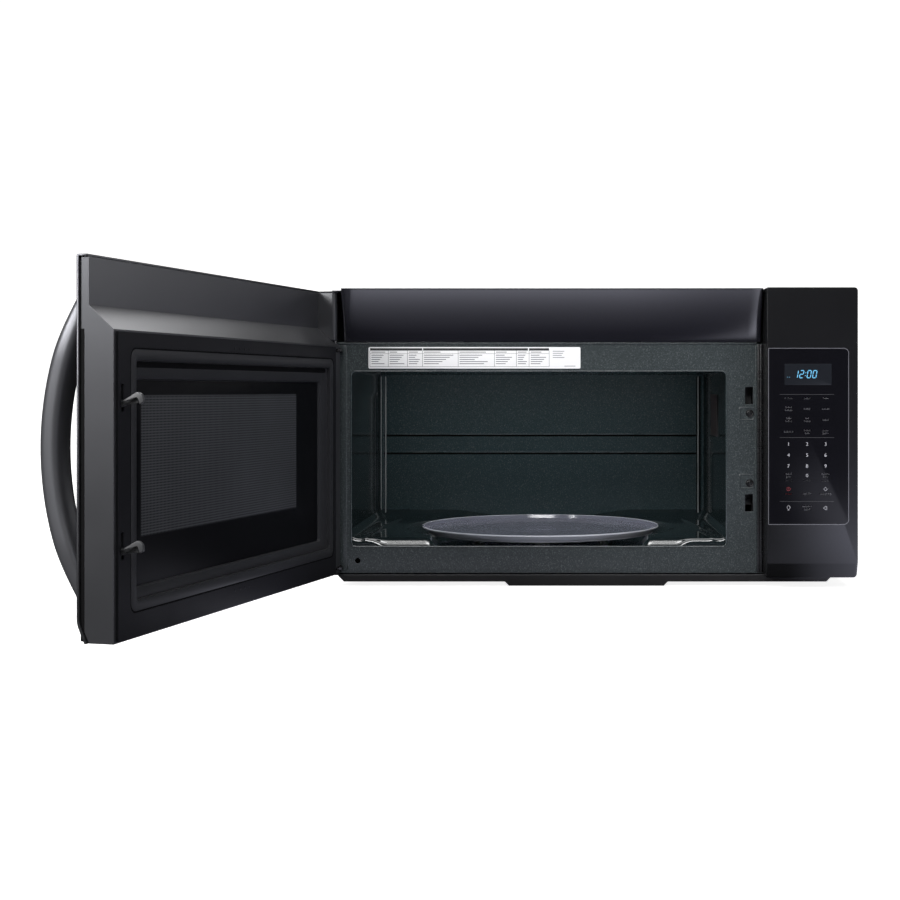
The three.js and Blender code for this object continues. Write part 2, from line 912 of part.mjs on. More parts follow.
function charcoalFilter() {
  const { x: w, y: t, z: h } = CHARCOAL_SIZE;
  const x = (grille.x0 + grille.x1) / 2;
  const y0 = plateY + 2;
  return box(x - w / 2, x + w / 2, y0, y0 + t, plateTop + FIT, plateTop + FIT + h);
}

// Vent blower: a casing with round inlets at its ends, open at the top into the duct.
const casing = {
  x0: duct.x0,
  x1: duct.x1,
  y0: duct.y0 - 12,
  y1: duct.y1 + 12,
  z0: cavity.z1 + SHEET + FIT,
  z1: top - SHEET - FIT,
};
const blowerAxis = {
  y: (casing.y0 + casing.y1) / 2,
  z: (casing.z0 + casing.z1) / 2,
};

function blowerHousing() {
  const t = BLOWER_WALL;
  const c = casing;
  const shell = box(c.x0, c.x1, c.y0, c.y1, c.z0, c.z1);
  const hollow = box(c.x0 + t, c.x1 - t, c.y0 + t, c.y1 - t, c.z0 + t, c.z1 + 1);
  const inlet = rod(
    "x",
    [blowerAxis.y, blowerAxis.z],
    c.x0 - 5,
    c.x1 + 5,
    WHEEL_RADIUS - 8,
    28,
  );
  return cut(shell, hollow, inlet);
}

function blowerMotor() {
  const { radius, length } = BLOWER_MOTOR;
  const { y, z } = blowerAxis;
  const can = rod("x", [y, z], -length / 2, length / 2, radius, 24);
  const foot = box(-20, 20, y - 16, y + 16, casing.z0 + BLOWER_WALL + FIT, z);
  const bore = rod("x", [y, z], -length, length, 4 + FIT, 12);
  return cut(join(can, foot), bore);
}

// Squirrel-cage wheel: a disc on the motor side, blades and an open ring at the inlet.
function blowerWheel(side) {
  const { y, z } = blowerAxis;
  const inner = BLOWER_MOTOR.length / 2 + 6;
  const outer = inner + WHEEL_LENGTH;
  const r = WHEEL_RADIUS;
  const span = (a, b) => (side > 0 ? [a, b] : [-b, -a]);
  const at = [y, z];
  const disc = rod("x", at, ...span(inner, inner + 2), r, 24);
  const ring = cut(
    rod("x", at, ...span(outer - 3, outer), r, 24),
    rod("x", at, ...span(outer - 4, outer + 1), r - 8, 24),
  );
  const hub = rod("x", at, ...span(inner - 4, inner + 12), 8, 12);
  const [b0, b1] = span(inner + 1, outer - 1);
  const blades = Array.from({ length: WHEEL_BLADES }, (_, i) =>
    solid(
      new THREE.BoxGeometry(b1 - b0, 1.6, 7)
        .translate((b0 + b1) / 2, 0, r - 4.5)
        .rotateX((i * 2 * Math.PI) / WHEEL_BLADES)
        .translate(0, y, z),
    ),
  );
  return join(disc, ring, hub, ...blades);
}

// The left wheel carries the shaft that runs through the motor to the right wheel.
function leftWheelWithShaft() {
  const { y, z } = blowerAxis;
  const reach = BLOWER_MOTOR.length / 2 + 6 - 4 - FIT;
  const start = -(BLOWER_MOTOR.length / 2 + 4);
  return join(blowerWheel(-1), rod("x", [y, z], start, reach, 4, 12));
}

const FLAP = { thick: 1, gap: 1.5, pin: 2 };
const flapZ = top + 8;
const flapHingeY = duct.y1 - SHEET - FLAP.gap - FLAP.pin;

// Duct collar on a flange, with a ledge that the closed flap lies over.
function exhaustAdaptor() {
  const d = duct;
  const z0 = top;
  const flange = box(d.x0 - 10, d.x1 + 10, d.y0 - 10, d.y1 + 10, z0, z0 + SHEET);
  const collar = box(d.x0, d.x1, d.y0, d.y1, z0, z0 + DUCT_COLLAR);
  const bore = box(
    d.x0 + SHEET,
    d.x1 - SHEET,
    d.y0 + SHEET,
    d.y1 - SHEET,
    z0 - 1,
    z0 + DUCT_COLLAR + 1,
  );
  const ledge = box(
    d.x0 + SHEET / 2,
    d.x1 - SHEET / 2,
    d.y0 + SHEET / 2,
    d.y0 + SHEET + 4,
    flapZ - FLAP.thick - 2,
    flapZ - FLAP.thick - FIT,
  );
  const holes = rod(
    "x",
    [flapHingeY, flapZ],
    d.x0 - 5,
    d.x1 + 5,
    FLAP.pin + FIT,
    12,
  );
  return cut(join(cut(join(flange, collar), bore), ledge), holes);
}

function damperFlap() {
  const d = duct;
  const x0 = d.x0 + SHEET + FLAP.gap;
  const x1 = d.x1 - SHEET - FLAP.gap;
  const leaf = box(
    x0,
    x1,
    d.y0 + SHEET + FLAP.gap,
    flapHingeY,
    flapZ - FLAP.thick,
    flapZ,
  );
  const pin = rod("x", [flapHingeY, flapZ], d.x0, d.x1, FLAP.pin, 12);
  return join(leaf, pin);
}

// ---------------------------------------------------------------- machine bay at the right
const bayX = cavity.x1 + SHEET;
const bayFloor = bottom;
const MAGNETRON = { x: 80, y: 84, z: 84 };
const TRANSFORMER = { x: 96, y: 88, z: 78 };
const CAPACITOR = { x: 54, y: 34, z: 92 };
const COOLING_FAN = { radius: 52, depth: 26, hub: 14, blades: 5 };

function magnetron() {
  const x0 = waveguide.x1 + FIT;
  const { y, z } = antennaAt;
  const { x: w, y: l, z: h } = MAGNETRON;
  const yoke = box(x0 + 6, x0 + 6 + w, y - l / 2, y + l / 2, z - h / 2, z + h / 2);
  const windows = [-1, 1].map((side) =>
    box(
      x0 + 14,
      x0 + w - 2,
      y + side * (l / 2) - 8,
      y + side * (l / 2) + 8,
      z - h / 2 + 10,
      z + h / 2 - 10,
    ),
  );
  const flange = box(x0, x0 + 7, y - l / 2 - 6, y + l / 2 + 6, z - 26, z + 26);
  const antenna = rod("x", [y, z], x0 - 24, x0 + 1, ANTENNA_RADIUS, 16);
  const filterBox = box(
    x0 + 6 + w - 1,
    x0 + w + 30,
    y - 30,
    y + 30,
    z - 22,
    z + 22,
  );
  return join(cut(yoke, ...windows), flange, antenna, filterBox);
}

// Core with its two windings, standing on the bay's floor.
function transformer() {
  const { x: w, y: l, z: h } = TRANSFORMER;
  const x0 = bayX + 34;
  const y0 = -l - 60;
  const core = box(x0, x0 + w, y0 + 16, y0 + l - 16, bayFloor, bayFloor + h);
  const winding = box(x0 + 16, x0 + w - 16, y0, y0 + l, bayFloor + 14, bayFloor + h - 14);
  const feet = box(x0 - 8, x0 + w + 8, y0 + 20, y0 + l - 20, bayFloor, bayFloor + 2);
  return join(core, winding, feet);
}

function capacitor() {
  const { x: w, y: l, z: h } = CAPACITOR;
  const x0 = bayX + 44;
  const y = -TRANSFORMER.y - 60 - 44;
  const can = prism(
    "z",
    roundedRect(x0, x0 + w, y - l / 2, y + l / 2, l / 2 - 0.5),
    bayFloor,
    bayFloor + h,
  );
  const tags = [0.3, 0.7].map((share) =>
    box(
      x0 + w * share - 3,
      x0 + w * share + 3,
      y - 1,
      y + 1,
      bayFloor + h - 1,
      bayFloor + h + 9,
    ),
  );
  return join(can, ...tags);
}

// The cooling fan blows forward over the magnetron; its motor stands on the rear panel.
const fan = {
  x: waveguide.x1 + 54,
  z: antennaAt.z,
  y: rearPanelY - 52,
};

function coolingFanMotor() {
  const y1 = rearPanelY - FIT;
  const body = box(fan.x - 22, fan.x + 22, y1 - 30, y1 - 6, fan.z - 20, fan.z + 20);
  const bracket = box(fan.x - 44, fan.x + 44, y1 - 8, y1, fan.z - 6, fan.z + 6);
  const shaft = rod("y", [fan.x, fan.z], fan.y - 6, y1 - 20, 2, 12);
  return join(body, bracket, shaft);
}

function coolingFanBlade() {
  const { radius, hub, blades } = COOLING_FAN;
  const core = rod("y", [fan.x, fan.z], fan.y - 8, fan.y + 8, hub, 16);
  const vanes = Array.from({ length: blades }, (_, i) =>
    solid(
      new THREE.BoxGeometry(radius - hub + 2, 1.6, 30)
        .rotateX(0.55)
        .translate((radius + hub - 2) / 2, 0, 0)
        .rotateY((i * 2 * Math.PI) / blades)
        .translate(fan.x, fan.y, fan.z),
    ),
  );
  const bore = rod("y", [fan.x, fan.z], fan.y - 9, fan.y + 9, 2 + FIT, 12);
  return cut(join(core, ...vanes), bore);
}

// ---------------------------------------------------------------- control panel
const PANEL_WALL = 3;
const GLASS_SIZE = { x: 115.4, z: 252.7 };
const GLASS_INSET = 1.5; // touch glass from the panel's left edge
const GLASS_DROP = 85.2; // touch glass below the case top
const GLASS_PROUD = 0.6;
const GLASS_THICK = 2;
const WINDOW = { x: 67.2, z: 30.3, inset: 23.3, drop: 22.7 };
const touch = {
  x0: panelLeft + GLASS_INSET,
  x1: panelLeft + GLASS_INSET + GLASS_SIZE.x,
  z0: top - GLASS_DROP - GLASS_SIZE.z,
  z1: top - GLASS_DROP,
};
const displayFrame = {
  x0: touch.x0 + WINDOW.inset,
  x1: touch.x0 + WINDOW.inset + WINDOW.x,
  z0: touch.z1 - WINDOW.drop - WINDOW.z,
  z1: touch.z1 - WINDOW.drop,
};
const boardY = frontY + PANEL_WALL + 10;

function chinOutline(inset, y1) {
  return [
    [frontY + inset, top - inset],
    [y1, top - inset],
    [y1, bottom + inset],
    [frontY + CHIN_DEPTH + inset, bottom + inset],
    [frontY + inset, bottom + CHIN_HEIGHT],
  ];
}

function panelHousing() {
  const t = PANEL_WALL;
  const back = plateY - FIT;
  const shell = prism("x", chinOutline(0, back), panelLeft, right);
  const hollow = prism("x", chinOutline(t, back + 5), panelLeft + t, right - t);
  const seat = prism(
    "y",
    roundedRect(touch.x0 - FIT, touch.x1 + FIT, touch.z0 - FIT, touch.z1 + FIT, 4),
    frontY - 1,
    frontY + GLASS_THICK - GLASS_PROUD,
  );
  const displayHole = box(
    displayFrame.x0,
    displayFrame.x1,
    frontY,
    frontY + t + 1,
    displayFrame.z0,
    displayFrame.z1,
  );
  return cut(shell, hollow, seat, displayHole);
}

function touchGlass() {
  const y0 = frontY - GLASS_PROUD;
  const sheet = prism(
    "y",
    roundedRect(touch.x0, touch.x1, touch.z0, touch.z1, 4),
    y0,
    y0 + GLASS_THICK,
  );
  const hole = box(
    displayFrame.x0 - FIT,
    displayFrame.x1 + FIT,
    y0 - 1,
    y0 + GLASS_THICK + 1,
    displayFrame.z0 - FIT,
    displayFrame.z1 + FIT,
  );
  return cut(sheet, hole);
}

const displayWindow = () =>
  box(
    displayFrame.x0 + FIT,
    displayFrame.x1 - FIT,
    frontY - GLASS_PROUD + 0.2,
    boardY - 4 - FIT,
    displayFrame.z0 + FIT,
    displayFrame.z1 - FIT,
  );

// Circuit board on four posts, with the display block, relays and a small transformer.
function controlBoard() {
  const x0 = touch.x0 + 4;
  const x1 = touch.x1 - 4;
  const z0 = touch.z0 + 8;
  const z1 = touch.z1 - 8;
  const board = box(x0, x1, boardY, boardY + 1.6, z0, z1);
  const posts = [x0 + 5, x1 - 5].flatMap((x) =>
    [z0 + 5, z1 - 5].map((z) =>
      rod("y", [x, z], frontY + PANEL_WALL + FIT, boardY + 1, 3, 8),
    ),
  );
  const block = box(
    displayFrame.x0 + 1,
    displayFrame.x1 - 1,
    boardY - 4,
    boardY + 1,
    displayFrame.z0 + 1,
    displayFrame.z1 - 1,
  );
  const back = boardY + 1;
  const relays = [0, 1, 2].map((i) =>
    box(x0 + 10, x0 + 30, back, back + 17, z0 + 20 + i * 34, z0 + 40 + i * 34),
  );
  const supply = box(x1 - 45, x1 - 10, back, back + 24, z0 + 20, z0 + 62);
  return join(board, ...posts, block, ...relays, supply);
}

// ---------------------------------------------------------------- latch behind the front plate
const latch = {
  x0: latchSlots[0].x0 - 8,
  x1: latchSlots[0].x0 - 8 + LATCH_BODY_WIDTH,
  y0: plateY + SHEET + FIT,
  y1: plateY + SHEET + FIT + LATCH_BODY_DEPTH,
  z0: latchSlots[1].z0 - 14,
  z1: latchSlots[0].z1 + 14,
};
const lever = {
  x: (latchSlots[0].x0 + latchSlots[0].x1) / 2,
  y: latch.y1 - 5,
  z: latchSlots[1].z1 + 22,
};
const SCREW = { radius: 4.5, hole: 2.4, shank: 2, below: 13.4, above: 16.2, inset: 4.8 };
const SCREW_HEAD = DOOR_GAP - 2 * FIT; // low enough for the closed door
const screwHeights = [latchSlots[0].z0 - SCREW.below, latchSlots[1].z1 + SCREW.above];
const screwX = latchSlots[0].x1 - SCREW.inset;

// Plastic block with a pocket behind each latch slot and a channel for the lever.
function latchBody() {
  const l = latch;
  const block = box(l.x0, l.x1, l.y0, l.y1, l.z0, l.z1);
  const pockets = latchSlots.map((s) =>
    box(s.x0 - 1, s.x1 + 1, l.y0 - 1, l.y1 - 8, s.z0 - 3, s.z1 + 3),
  );
  const channel = box(
    lever.x - 6,
    lever.x + 6,
    l.y1 - 12,
    l.y1 + 1,
    latchSlots[1].z0 - 3,
    lever.z + 46,
  );
  const screws = screwHeights.map((z) =>
    rod("y", [screwX, z], l.y0 - 5, l.y0 + 16, SCREW.hole, 12),
  );
  const axle = rod("x", [lever.y, lever.z], lever.x - 7, lever.x + 7, 2, 12);
  return join(cut(block, ...pockets, channel, ...screws), axle);
}

// Rocking lever: its foot waits behind the lower hook, its head presses the switches.
function interlockLever() {
  const { x, y, z } = lever;
  const half = 5;
  const foot = latchSlots[1].z0 + 8;
  const bar = box(x - half, x + half, y - LEVER_THICK, y + LEVER_THICK / 2, foot, z + 40);
  const boss = rod("x", [y, z], x - half, x + half, 5, 16);
  const nose = box(x - half, x + half, y - LEVER_THICK - 3, y, foot, foot + 8);
  const bore = rod("x", [y, z], x - half - 1, x + half + 1, 2 + FIT, 12);
  return cut(join(bar, boss, nose), bore);
}

// Each switch lies on the panel side of the latch body.
const switchHeights = [
  latch.z1 - SWITCH_SIZE.z - 4,
  (latch.z0 + latch.z1 - SWITCH_SIZE.z) / 2,
  latch.z0 + 4,
];

function doorSwitch(z0) {
  const { x: w, y: l, z: h } = SWITCH_SIZE;
  const x0 = latch.x1 + FIT;
  const y1 = latch.y1;
  const body = box(x0, x0 + w, y1 - l, y1, z0, z0 + h);
  const tags = [0.2, 0.8].map((share) =>
    box(x0 + w - 1, x0 + w + 7, y1 - l / 2 - 2, y1 - l / 2 + 2, z0 + h * share - 1, z0 + h * share + 1),
  );
  return join(body, ...tags);
}

function latchScrew(z) {
  const headY = plateY - FIT;
  const head = rod("y", [screwX, z], headY - SCREW_HEAD, headY, SCREW.radius, 16);
  const shank = rod("y", [screwX, z], headY - SCREW_HEAD / 2, headY + 12, SCREW.shank, 8);
  return join(head, shank);
}

const screwHoles = () =>
  screwHeights.map((z) => rod("y", [screwX, z], plateY - 5, plateY + 5, SCREW.hole, 12));

// ---------------------------------------------------------------- hinge brackets
// A tab through the front plate carries an upright pin; the flange lies behind the plate.
function hingeBracket(tabTop, pinLength, side) {
  const x0 = hinge.x - HINGE_TAB_WIDTH / 4;
  const x1 = x0 + HINGE_TAB_WIDTH;
  const z0 = tabTop - HINGE_TAB;
  const back = plateY + SHEET + FIT;
  const y0 = hinge.y - HINGE_PIN - 4;
  const tab = box(x0, x1, y0, back + 1, z0, tabTop);
  const reach = { near: 5, far: 28 };
  const up = side > 0 ? reach.far : reach.near;
  const down = side > 0 ? reach.near : reach.far;
  const flange = box(x0, x1, back, back + 2.5, z0 - down, tabTop + up);
  const pin = rod("z", [hinge.x, hinge.y], tabTop - 1, tabTop + pinLength, HINGE_PIN, 16);
  return join(tab, flange, pin);
}

// ---------------------------------------------------------------- door, drawn closed
const bandY = door.y0 + DOOR_BAND_DEPTH;
const bandZ = door.z1 - DOOR_BAND_HEIGHT;
const bevelZ = bandZ - DOOR_BEVEL_HEIGHT;

function doorSkin() {
  const t = SKIN;
  const { y0, z0, z1 } = door;
  const outline = [
    [y0, z1],
    [y0, z0 + CHIN_HEIGHT],
    [y0 + CHIN_DEPTH, z0],
    [y0 + CHIN_DEPTH + t, z0],
    [y0 + t, z0 + CHIN_HEIGHT],
    [y0 + t, z1 - t],
    [bandY, z1 - t],
    [bandY, z1],
  ];
  const sheet = prism("x", outline, door.x0, door.x1);
  return cut(sheet, windowSolid(0, y0 - 1, y0 + t + 1));
}

function windowSolid(grow, y0, y1) {
  const m = WINDOW_MARGIN - grow;
  return prism(
    "y",
    roundedRect(door.x0 + m, door.x1 - m - 30, door.z0 + m + 22, bandZ + grow, 6),
    y0,
    y1,
  );
}

const doorGlass = () => windowSolid(-FIT, door.y0, door.y0 + GLASS);

// Moulded frame: a dish open to the front, a thin band above it and a wall with a hole
// for the choke cover's rim behind it.
function doorFrame() {
  const w = FRAME_WALL;
  const front = door.y0 + SKIN + FIT + 0.4;
  const x0 = door.x0 + 0.5;
  const x1 = door.x1 - SKIN_OVERHANG;
  const z1 = door.z1 - SKIN - FIT;
  const chin = front + CHIN_DEPTH + 1;
  const outline = [
    [front, z1],
    [bandY, z1],
    [bandY, bandZ],
    [frameInnerY, bevelZ],
    [frameInnerY, door.z0 + FIT],
    [chin, door.z0 + FIT],
    [front, door.z0 + CHIN_HEIGHT],
  ];
  const envelope = prism("x", outline, x0, x1);
  const dish = box(
    x0 + w,
    x1 - w,
    front - 1,
    frameInnerY - w,
    door.z0 + CHIN_HEIGHT,
    bevelZ - w,
  );
  const pins = [
    [hingeTabTops[0], bandZ],
    [hingeTabTops[1], hingeTabTops[1] + 24],
  ];
  const bosses = pins.map(([z, zEnd]) =>
    rod("z", [hinge.x, hinge.y], z, zEnd, 9, 20).intersect(envelope),
  );
  const pockets = hingeTabTops.map((z) =>
    rod("z", [hinge.x, hinge.y], z - HINGE_TAB - 1, z + 1, HINGE_POCKET, 32),
  );
  const bores = pins.map(([z, zEnd]) =>
    rod("z", [hinge.x, hinge.y], z, zEnd + 5, HINGE_PIN + FIT, 16),
  );
  const guides = [-1, 1].map((side) => {
    const x = hookX + side * (HOOK_THICK / 2 + FIT);
    return box(
      Math.min(x, x + side * 2),
      Math.max(x, x + side * 2),
      keyBar.y0 - 2,
      frameInnerY - 1,
      -20,
      20,
    );
  });
  const springPost = box(
    hookX - 4,
    hookX + 4,
    keyBar.y0,
    frameInnerY - 1,
    spring.z0 - 4,
    spring.z0 - FIT,
  );
  return cut(
    join(cut(envelope, dish), ...bosses, ...guides, springPost),
    chokeHole(FIT),
    ...hookSlots(FIT, 2),
    ...pockets,
    ...bores,
  );
}

const chokeHole = (grow) =>
  prism(
    "y",
    roundedRect(
      choke.x0 - grow,
      choke.x1 + grow,
      choke.z0 - grow,
      choke.z1 + grow,
      10,
    ),
    frameInnerY - 30,
    door.y1 + 5,
  );

// Slots in the door's inner wall for the two hook arms.
function hookSlots(side, extra) {
  return hookHeights.map((z) =>
    box(
      hookX - HOOK_THICK / 2 - side,
      hookX + HOOK_THICK / 2 + side,
      frameInnerY - 10,
      door.y1 + 1,
      z - LATCH_SLOT_HEIGHT / 2 - extra,
      z + LATCH_SLOT_HEIGHT / 2 + extra,
    ),
  );
}

// Black cover on the inner face with a rim that runs through the frame.
function chokeCover() {
  const y0 = frameInnerY + FIT;
  const coverX0 = hinge.x + HINGE_POCKET + 1;
  const flat = box(
    coverX0,
    door.x1 - SKIN_OVERHANG - 5,
    y0,
    door.y1,
    door.z0 + 2,
    bevelZ - 2,
  );
  const rimOuter = [choke.x0, choke.x1, choke.z0, choke.z1];
  const rim = prism("y", roundedRect(...rimOuter, 10), meshY + 1 + FIT, door.y1);
  const inset = 3;
  const bore = prism(
    "y",
    roundedRect(
      choke.x0 + inset,
      choke.x1 - inset,
      choke.z0 + inset,
      choke.z1 - inset,
      8,
    ),
    meshY - 5,
    door.y1 + 5,
  );
  return cut(join(flat, rim), bore, ...hookSlots(2, 2));
}

// Screen: a pressed tray of perforated sheet, its edge turned up to the frame.
function meshScreen() {
  const m = MESH_MARGIN;
  const x0 = choke.x0 - m;
  const x1 = Math.min(choke.x1 + m, hookX - HOOK_THICK / 2 - 3);
  const z0 = Math.max(choke.z0 - m, door.z0 + CHIN_HEIGHT + 1);
  const z1 = Math.min(choke.z1 + m, bevelZ - FRAME_WALL - 2);
  const rimTop = frameInnerY - FRAME_WALL - FIT;
  const outer = box(x0, x1, meshY, rimTop, z0, z1);
  const inner = box(x0 + 1, x1 - 1, meshY + 1, rimTop + 1, z0 + 1, z1 - 1);
  return cut(outer, inner);
}

function innerPane() {
  const inset = 3 + FIT;
  return prism(
    "y",
    roundedRect(
      choke.x0 + inset,
      choke.x1 - inset,
      choke.z0 + inset,
      choke.z1 - inset,
      7.6,
    ),
    meshY + 1 + FIT,
    meshY + 3,
  );
}

// Latch key: a flat bar with two hook arms, free to lift in the frame's slots.
const keyBar = {
  y0: frameInnerY - FRAME_WALL - 14,
  y1: frameInnerY - FRAME_WALL - 4,
};
const spring = { radius: 3, wire: 0.5, turns: 6, length: 22 };
spring.z1 = hookHeights[1] - LATCH_SLOT_HEIGHT / 2 - 6;
spring.z0 = spring.z1 - spring.length;

function latchKey() {
  const tip = door.y1 + HOOK_REACH;
  const hooks = hookHeights.map((z) => {
    const root = z - LATCH_SLOT_HEIGHT / 2 + 2.5;
    const outline = [
      [keyBar.y0 + 1, root],
      [door.y1 + 2, root],
      [tip - 6, root + 10],
      [tip - 3.5, root + 4],
      [tip, root + 5],
      [tip - 1, root + 12],
      [tip - 6, root + 16],
      [door.y1 + 1, root + 6.5],
      [keyBar.y0 + 1, root + 6.5],
    ];
    return prism("x", outline, hookX - HOOK_THICK / 2, hookX + HOOK_THICK / 2);
  });
  const bar = box(
    hookX - HOOK_THICK / 2,
    hookX + HOOK_THICK / 2,
    keyBar.y0,
    keyBar.y1,
    spring.z1 + FIT,
    hookHeights[0] + 10,
  );
  return join(bar, ...hooks);
}

class Helix extends THREE.Curve {
  getPoint(t, target = new THREE.Vector3()) {
    const a = 2 * Math.PI * spring.turns * t;
    const r = spring.radius - spring.wire;
    const y = (keyBar.y0 + keyBar.y1) / 2;
    const z0 = spring.z0 + spring.wire;
    const rise = spring.length - 2 * spring.wire;
    return target.set(hookX + r * Math.cos(a), y + r * Math.sin(a), z0 + rise * t);
  }
}

function latchSpring() {
  const section = new THREE.Shape().absarc(0, 0, spring.wire, 0, 2 * Math.PI);
  return solid(
    new THREE.ExtrudeGeometry(section, {
      extrudePath: new Helix(),
      bevelEnabled: false,
      steps: spring.turns * 8,
      curveSegments: 3,
    }),
  );
}

// Bowed handle: an oval carried along a circular arc, cut flat where it meets the skin.
function handle() {
  const half = HANDLE_LENGTH / 2;
  const bow = HANDLE_BOW;
  const radius = (half * half + bow * bow) / (2 * bow);
  const spread = Math.asin(half / radius) * 1.04;
  const x = door.x1 - HANDLE_INSET;
  const centreY = door.y0 - bow + radius;
  const steps = 22;
  const sides = 14;
  const positions = [];
  const point = (i, j) => {
    const a = -spread + (2 * spread * i) / steps;
    const b = (2 * Math.PI * j) / sides;
    const r = radius + (HANDLE_THICK / 2) * Math.sin(b);
    return [
      x + (HANDLE_WIDTH / 2) * Math.cos(b),
      centreY - r * Math.cos(a),
      r * Math.sin(a),
    ];
  };
  const triangle = (...corners) => corners.forEach((c) => positions.push(...c));
  for (let i = 0; i < steps; i++)
    for (let j = 0; j < sides; j++) {
      const [a, b, c, d] = [point(i, j), point(i + 1, j), point(i + 1, j + 1), point(i, j + 1)];
      triangle(a, b, c);
      triangle(a, c, d);
    }
  for (let j = 1; j < sides - 1; j++) {
    triangle(point(0, 0), point(0, j), point(0, j + 1));
    triangle(point(steps, 0), point(steps, j + 1), point(steps, j));
  }
  const geometry = new THREE.BufferGeometry();
  geometry.setAttribute("position", new THREE.Float32BufferAttribute(positions, 3));
  const skinSide = box(x - 60, x + 60, door.y0 - FIT, door.y0 + 60, -half - 60, half + 60);
  return solid(geometry).subtract(skinSide);
}

// ---------------------------------------------------------------- assembly
add("wall_plate", wallPlate(), "caseSteel");
add("rear_panel", rearPanel(), "caseSteel");
add("outer_case", outerCase(), "caseSteel");
add("cord_bush", cordBush(), "blackPlastic");
add("base_plate", basePlate(), "caseSteel");
add("base_pan", basePan(), "blackSteel");
add("grease_filter_left", greaseFilter(filterX[0]), "aluminium");
add("grease_filter_right", greaseFilter(filterX[1]), "aluminium");
add("cooktop_lamp_cover", cooktopLampCover(), "glass");
add("cooktop_lamp", cooktopLamp(), "white");

add("front_plate", cut(frontPlate(), ...screwHoles()), "enamel");
add("cavity_wrapper", cavityWrapper(), "enamel");
add("cavity_back", cavityBack(), "enamel");
add("cavity_floor", cavityFloor(), "enamel");
add("waveguide", waveguideDuct(), "zinc");
add("waveguide_cover", waveguideCover(), "mica");
add("cavity_lamp", cavityLamp(), "white");

add("turntable_motor", turntableMotor(), "zinc");
add("turntable_coupler", turntableCoupler(), "white");
add("roller_ring", rollerRing(), "white");
rollerAngles.forEach((a, i) => add(`roller_${i + 1}`, roller(a), "white"));
add("glass_tray", glassTray(), "glass");

add("vent_grille", ventGrille(), "purple");
add("charcoal_filter", charcoalFilter(), "blackPlastic");
add("blower_housing", blowerHousing(), "zinc");
add("blower_motor", blowerMotor(), "zinc");
add("blower_wheel_left", leftWheelWithShaft(), "zinc");
add("blower_wheel_right", blowerWheel(1), "zinc");
add("exhaust_adaptor", exhaustAdaptor(), "zinc");
add("damper_flap", damperFlap(), "zinc");

add("magnetron", magnetron(), "zinc");
add("transformer", transformer(), "copper");
add("capacitor", capacitor(), "zinc");
add("cooling_fan_motor", coolingFanMotor(), "zinc");
add("cooling_fan_blade", coolingFanBlade(), "blackPlastic");

add("panel_housing", panelHousing(), "blackSteel");
add("touch_glass", touchGlass(), "gloss");
add("display_window", displayWindow(), "gloss");
add("control_board", controlBoard(), "board");

add("latch_body", latchBody(), "white");
add("door_switch_upper", doorSwitch(switchHeights[0]), "blackPlastic");
add("door_switch_middle", doorSwitch(switchHeights[1]), "blackPlastic");
add("door_switch_lower", doorSwitch(switchHeights[2]), "blackPlastic");
add("interlock_lever", interlockLever(), "white");
add("latch_screw_upper", latchScrew(screwHeights[0]), "zinc");
add("latch_screw_lower", latchScrew(screwHeights[1]), "zinc");
add("hinge_bracket_upper", hingeBracket(hingeTabTops[0], 13, -1), "zinc");
add("hinge_bracket_lower", hingeBracket(hingeTabTops[1], 12, 1), "zinc");

const LABEL = { x: 309.5, z: 31.4, inset: 53.5, drop: 82.7, thick: 0.4 };
const labelX = left + LABEL.inset;
add(
  "guide_label",
  box(
    labelX,
    labelX + LABEL.x,
    plateY - LABEL.thick,
    plateY,
    top - LABEL.drop - LABEL.z,
    top - LABEL.drop,
  ),
  "white",
);

add("door_skin", doorSkin(), "blackSteel", doorGroup);
add("door_glass", doorGlass(), "gloss", doorGroup);
add("door_frame", doorFrame(), "blackPlastic", doorGroup);
add("choke_cover", chokeCover(), "blackPlastic", doorGroup);
add("mesh_screen", meshScreen(), "blackSteel", doorGroup);
add("inner_pane", innerPane(), "glass", doorGroup);
add("handle", handle(), "blackSteel", doorGroup);
add("latch_key", latchKey(), "blackPlastic", doorGroup);
add("latch_spring", latchSpring(), "zinc", doorGroup);

// The door is drawn closed and turned about its hinge to where it stands open.
const doorPivot = new THREE.Group();
doorPivot.position.set(hinge.x, hinge.y, 0);
doorPivot.rotation.z = THREE.MathUtils.degToRad(-DOOR_OPEN_DEG);
doorGroup.position.set(-hinge.x, -hinge.y, 0);
doorPivot.add(doorGroup);
part.add(doorPivot);

export default part;
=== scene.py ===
"""Visible surfaces of an over-the-range microwave oven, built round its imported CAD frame.

The file is laid out as an add-on and is run as a script. Shapes are worked out with numpy in
millimetres and put into their meshes in metres. The door's pieces are worked out with the door
closed and then turned to where it stands open. X runs right, Y runs to the wall and Z is up.
"""

import json
import math

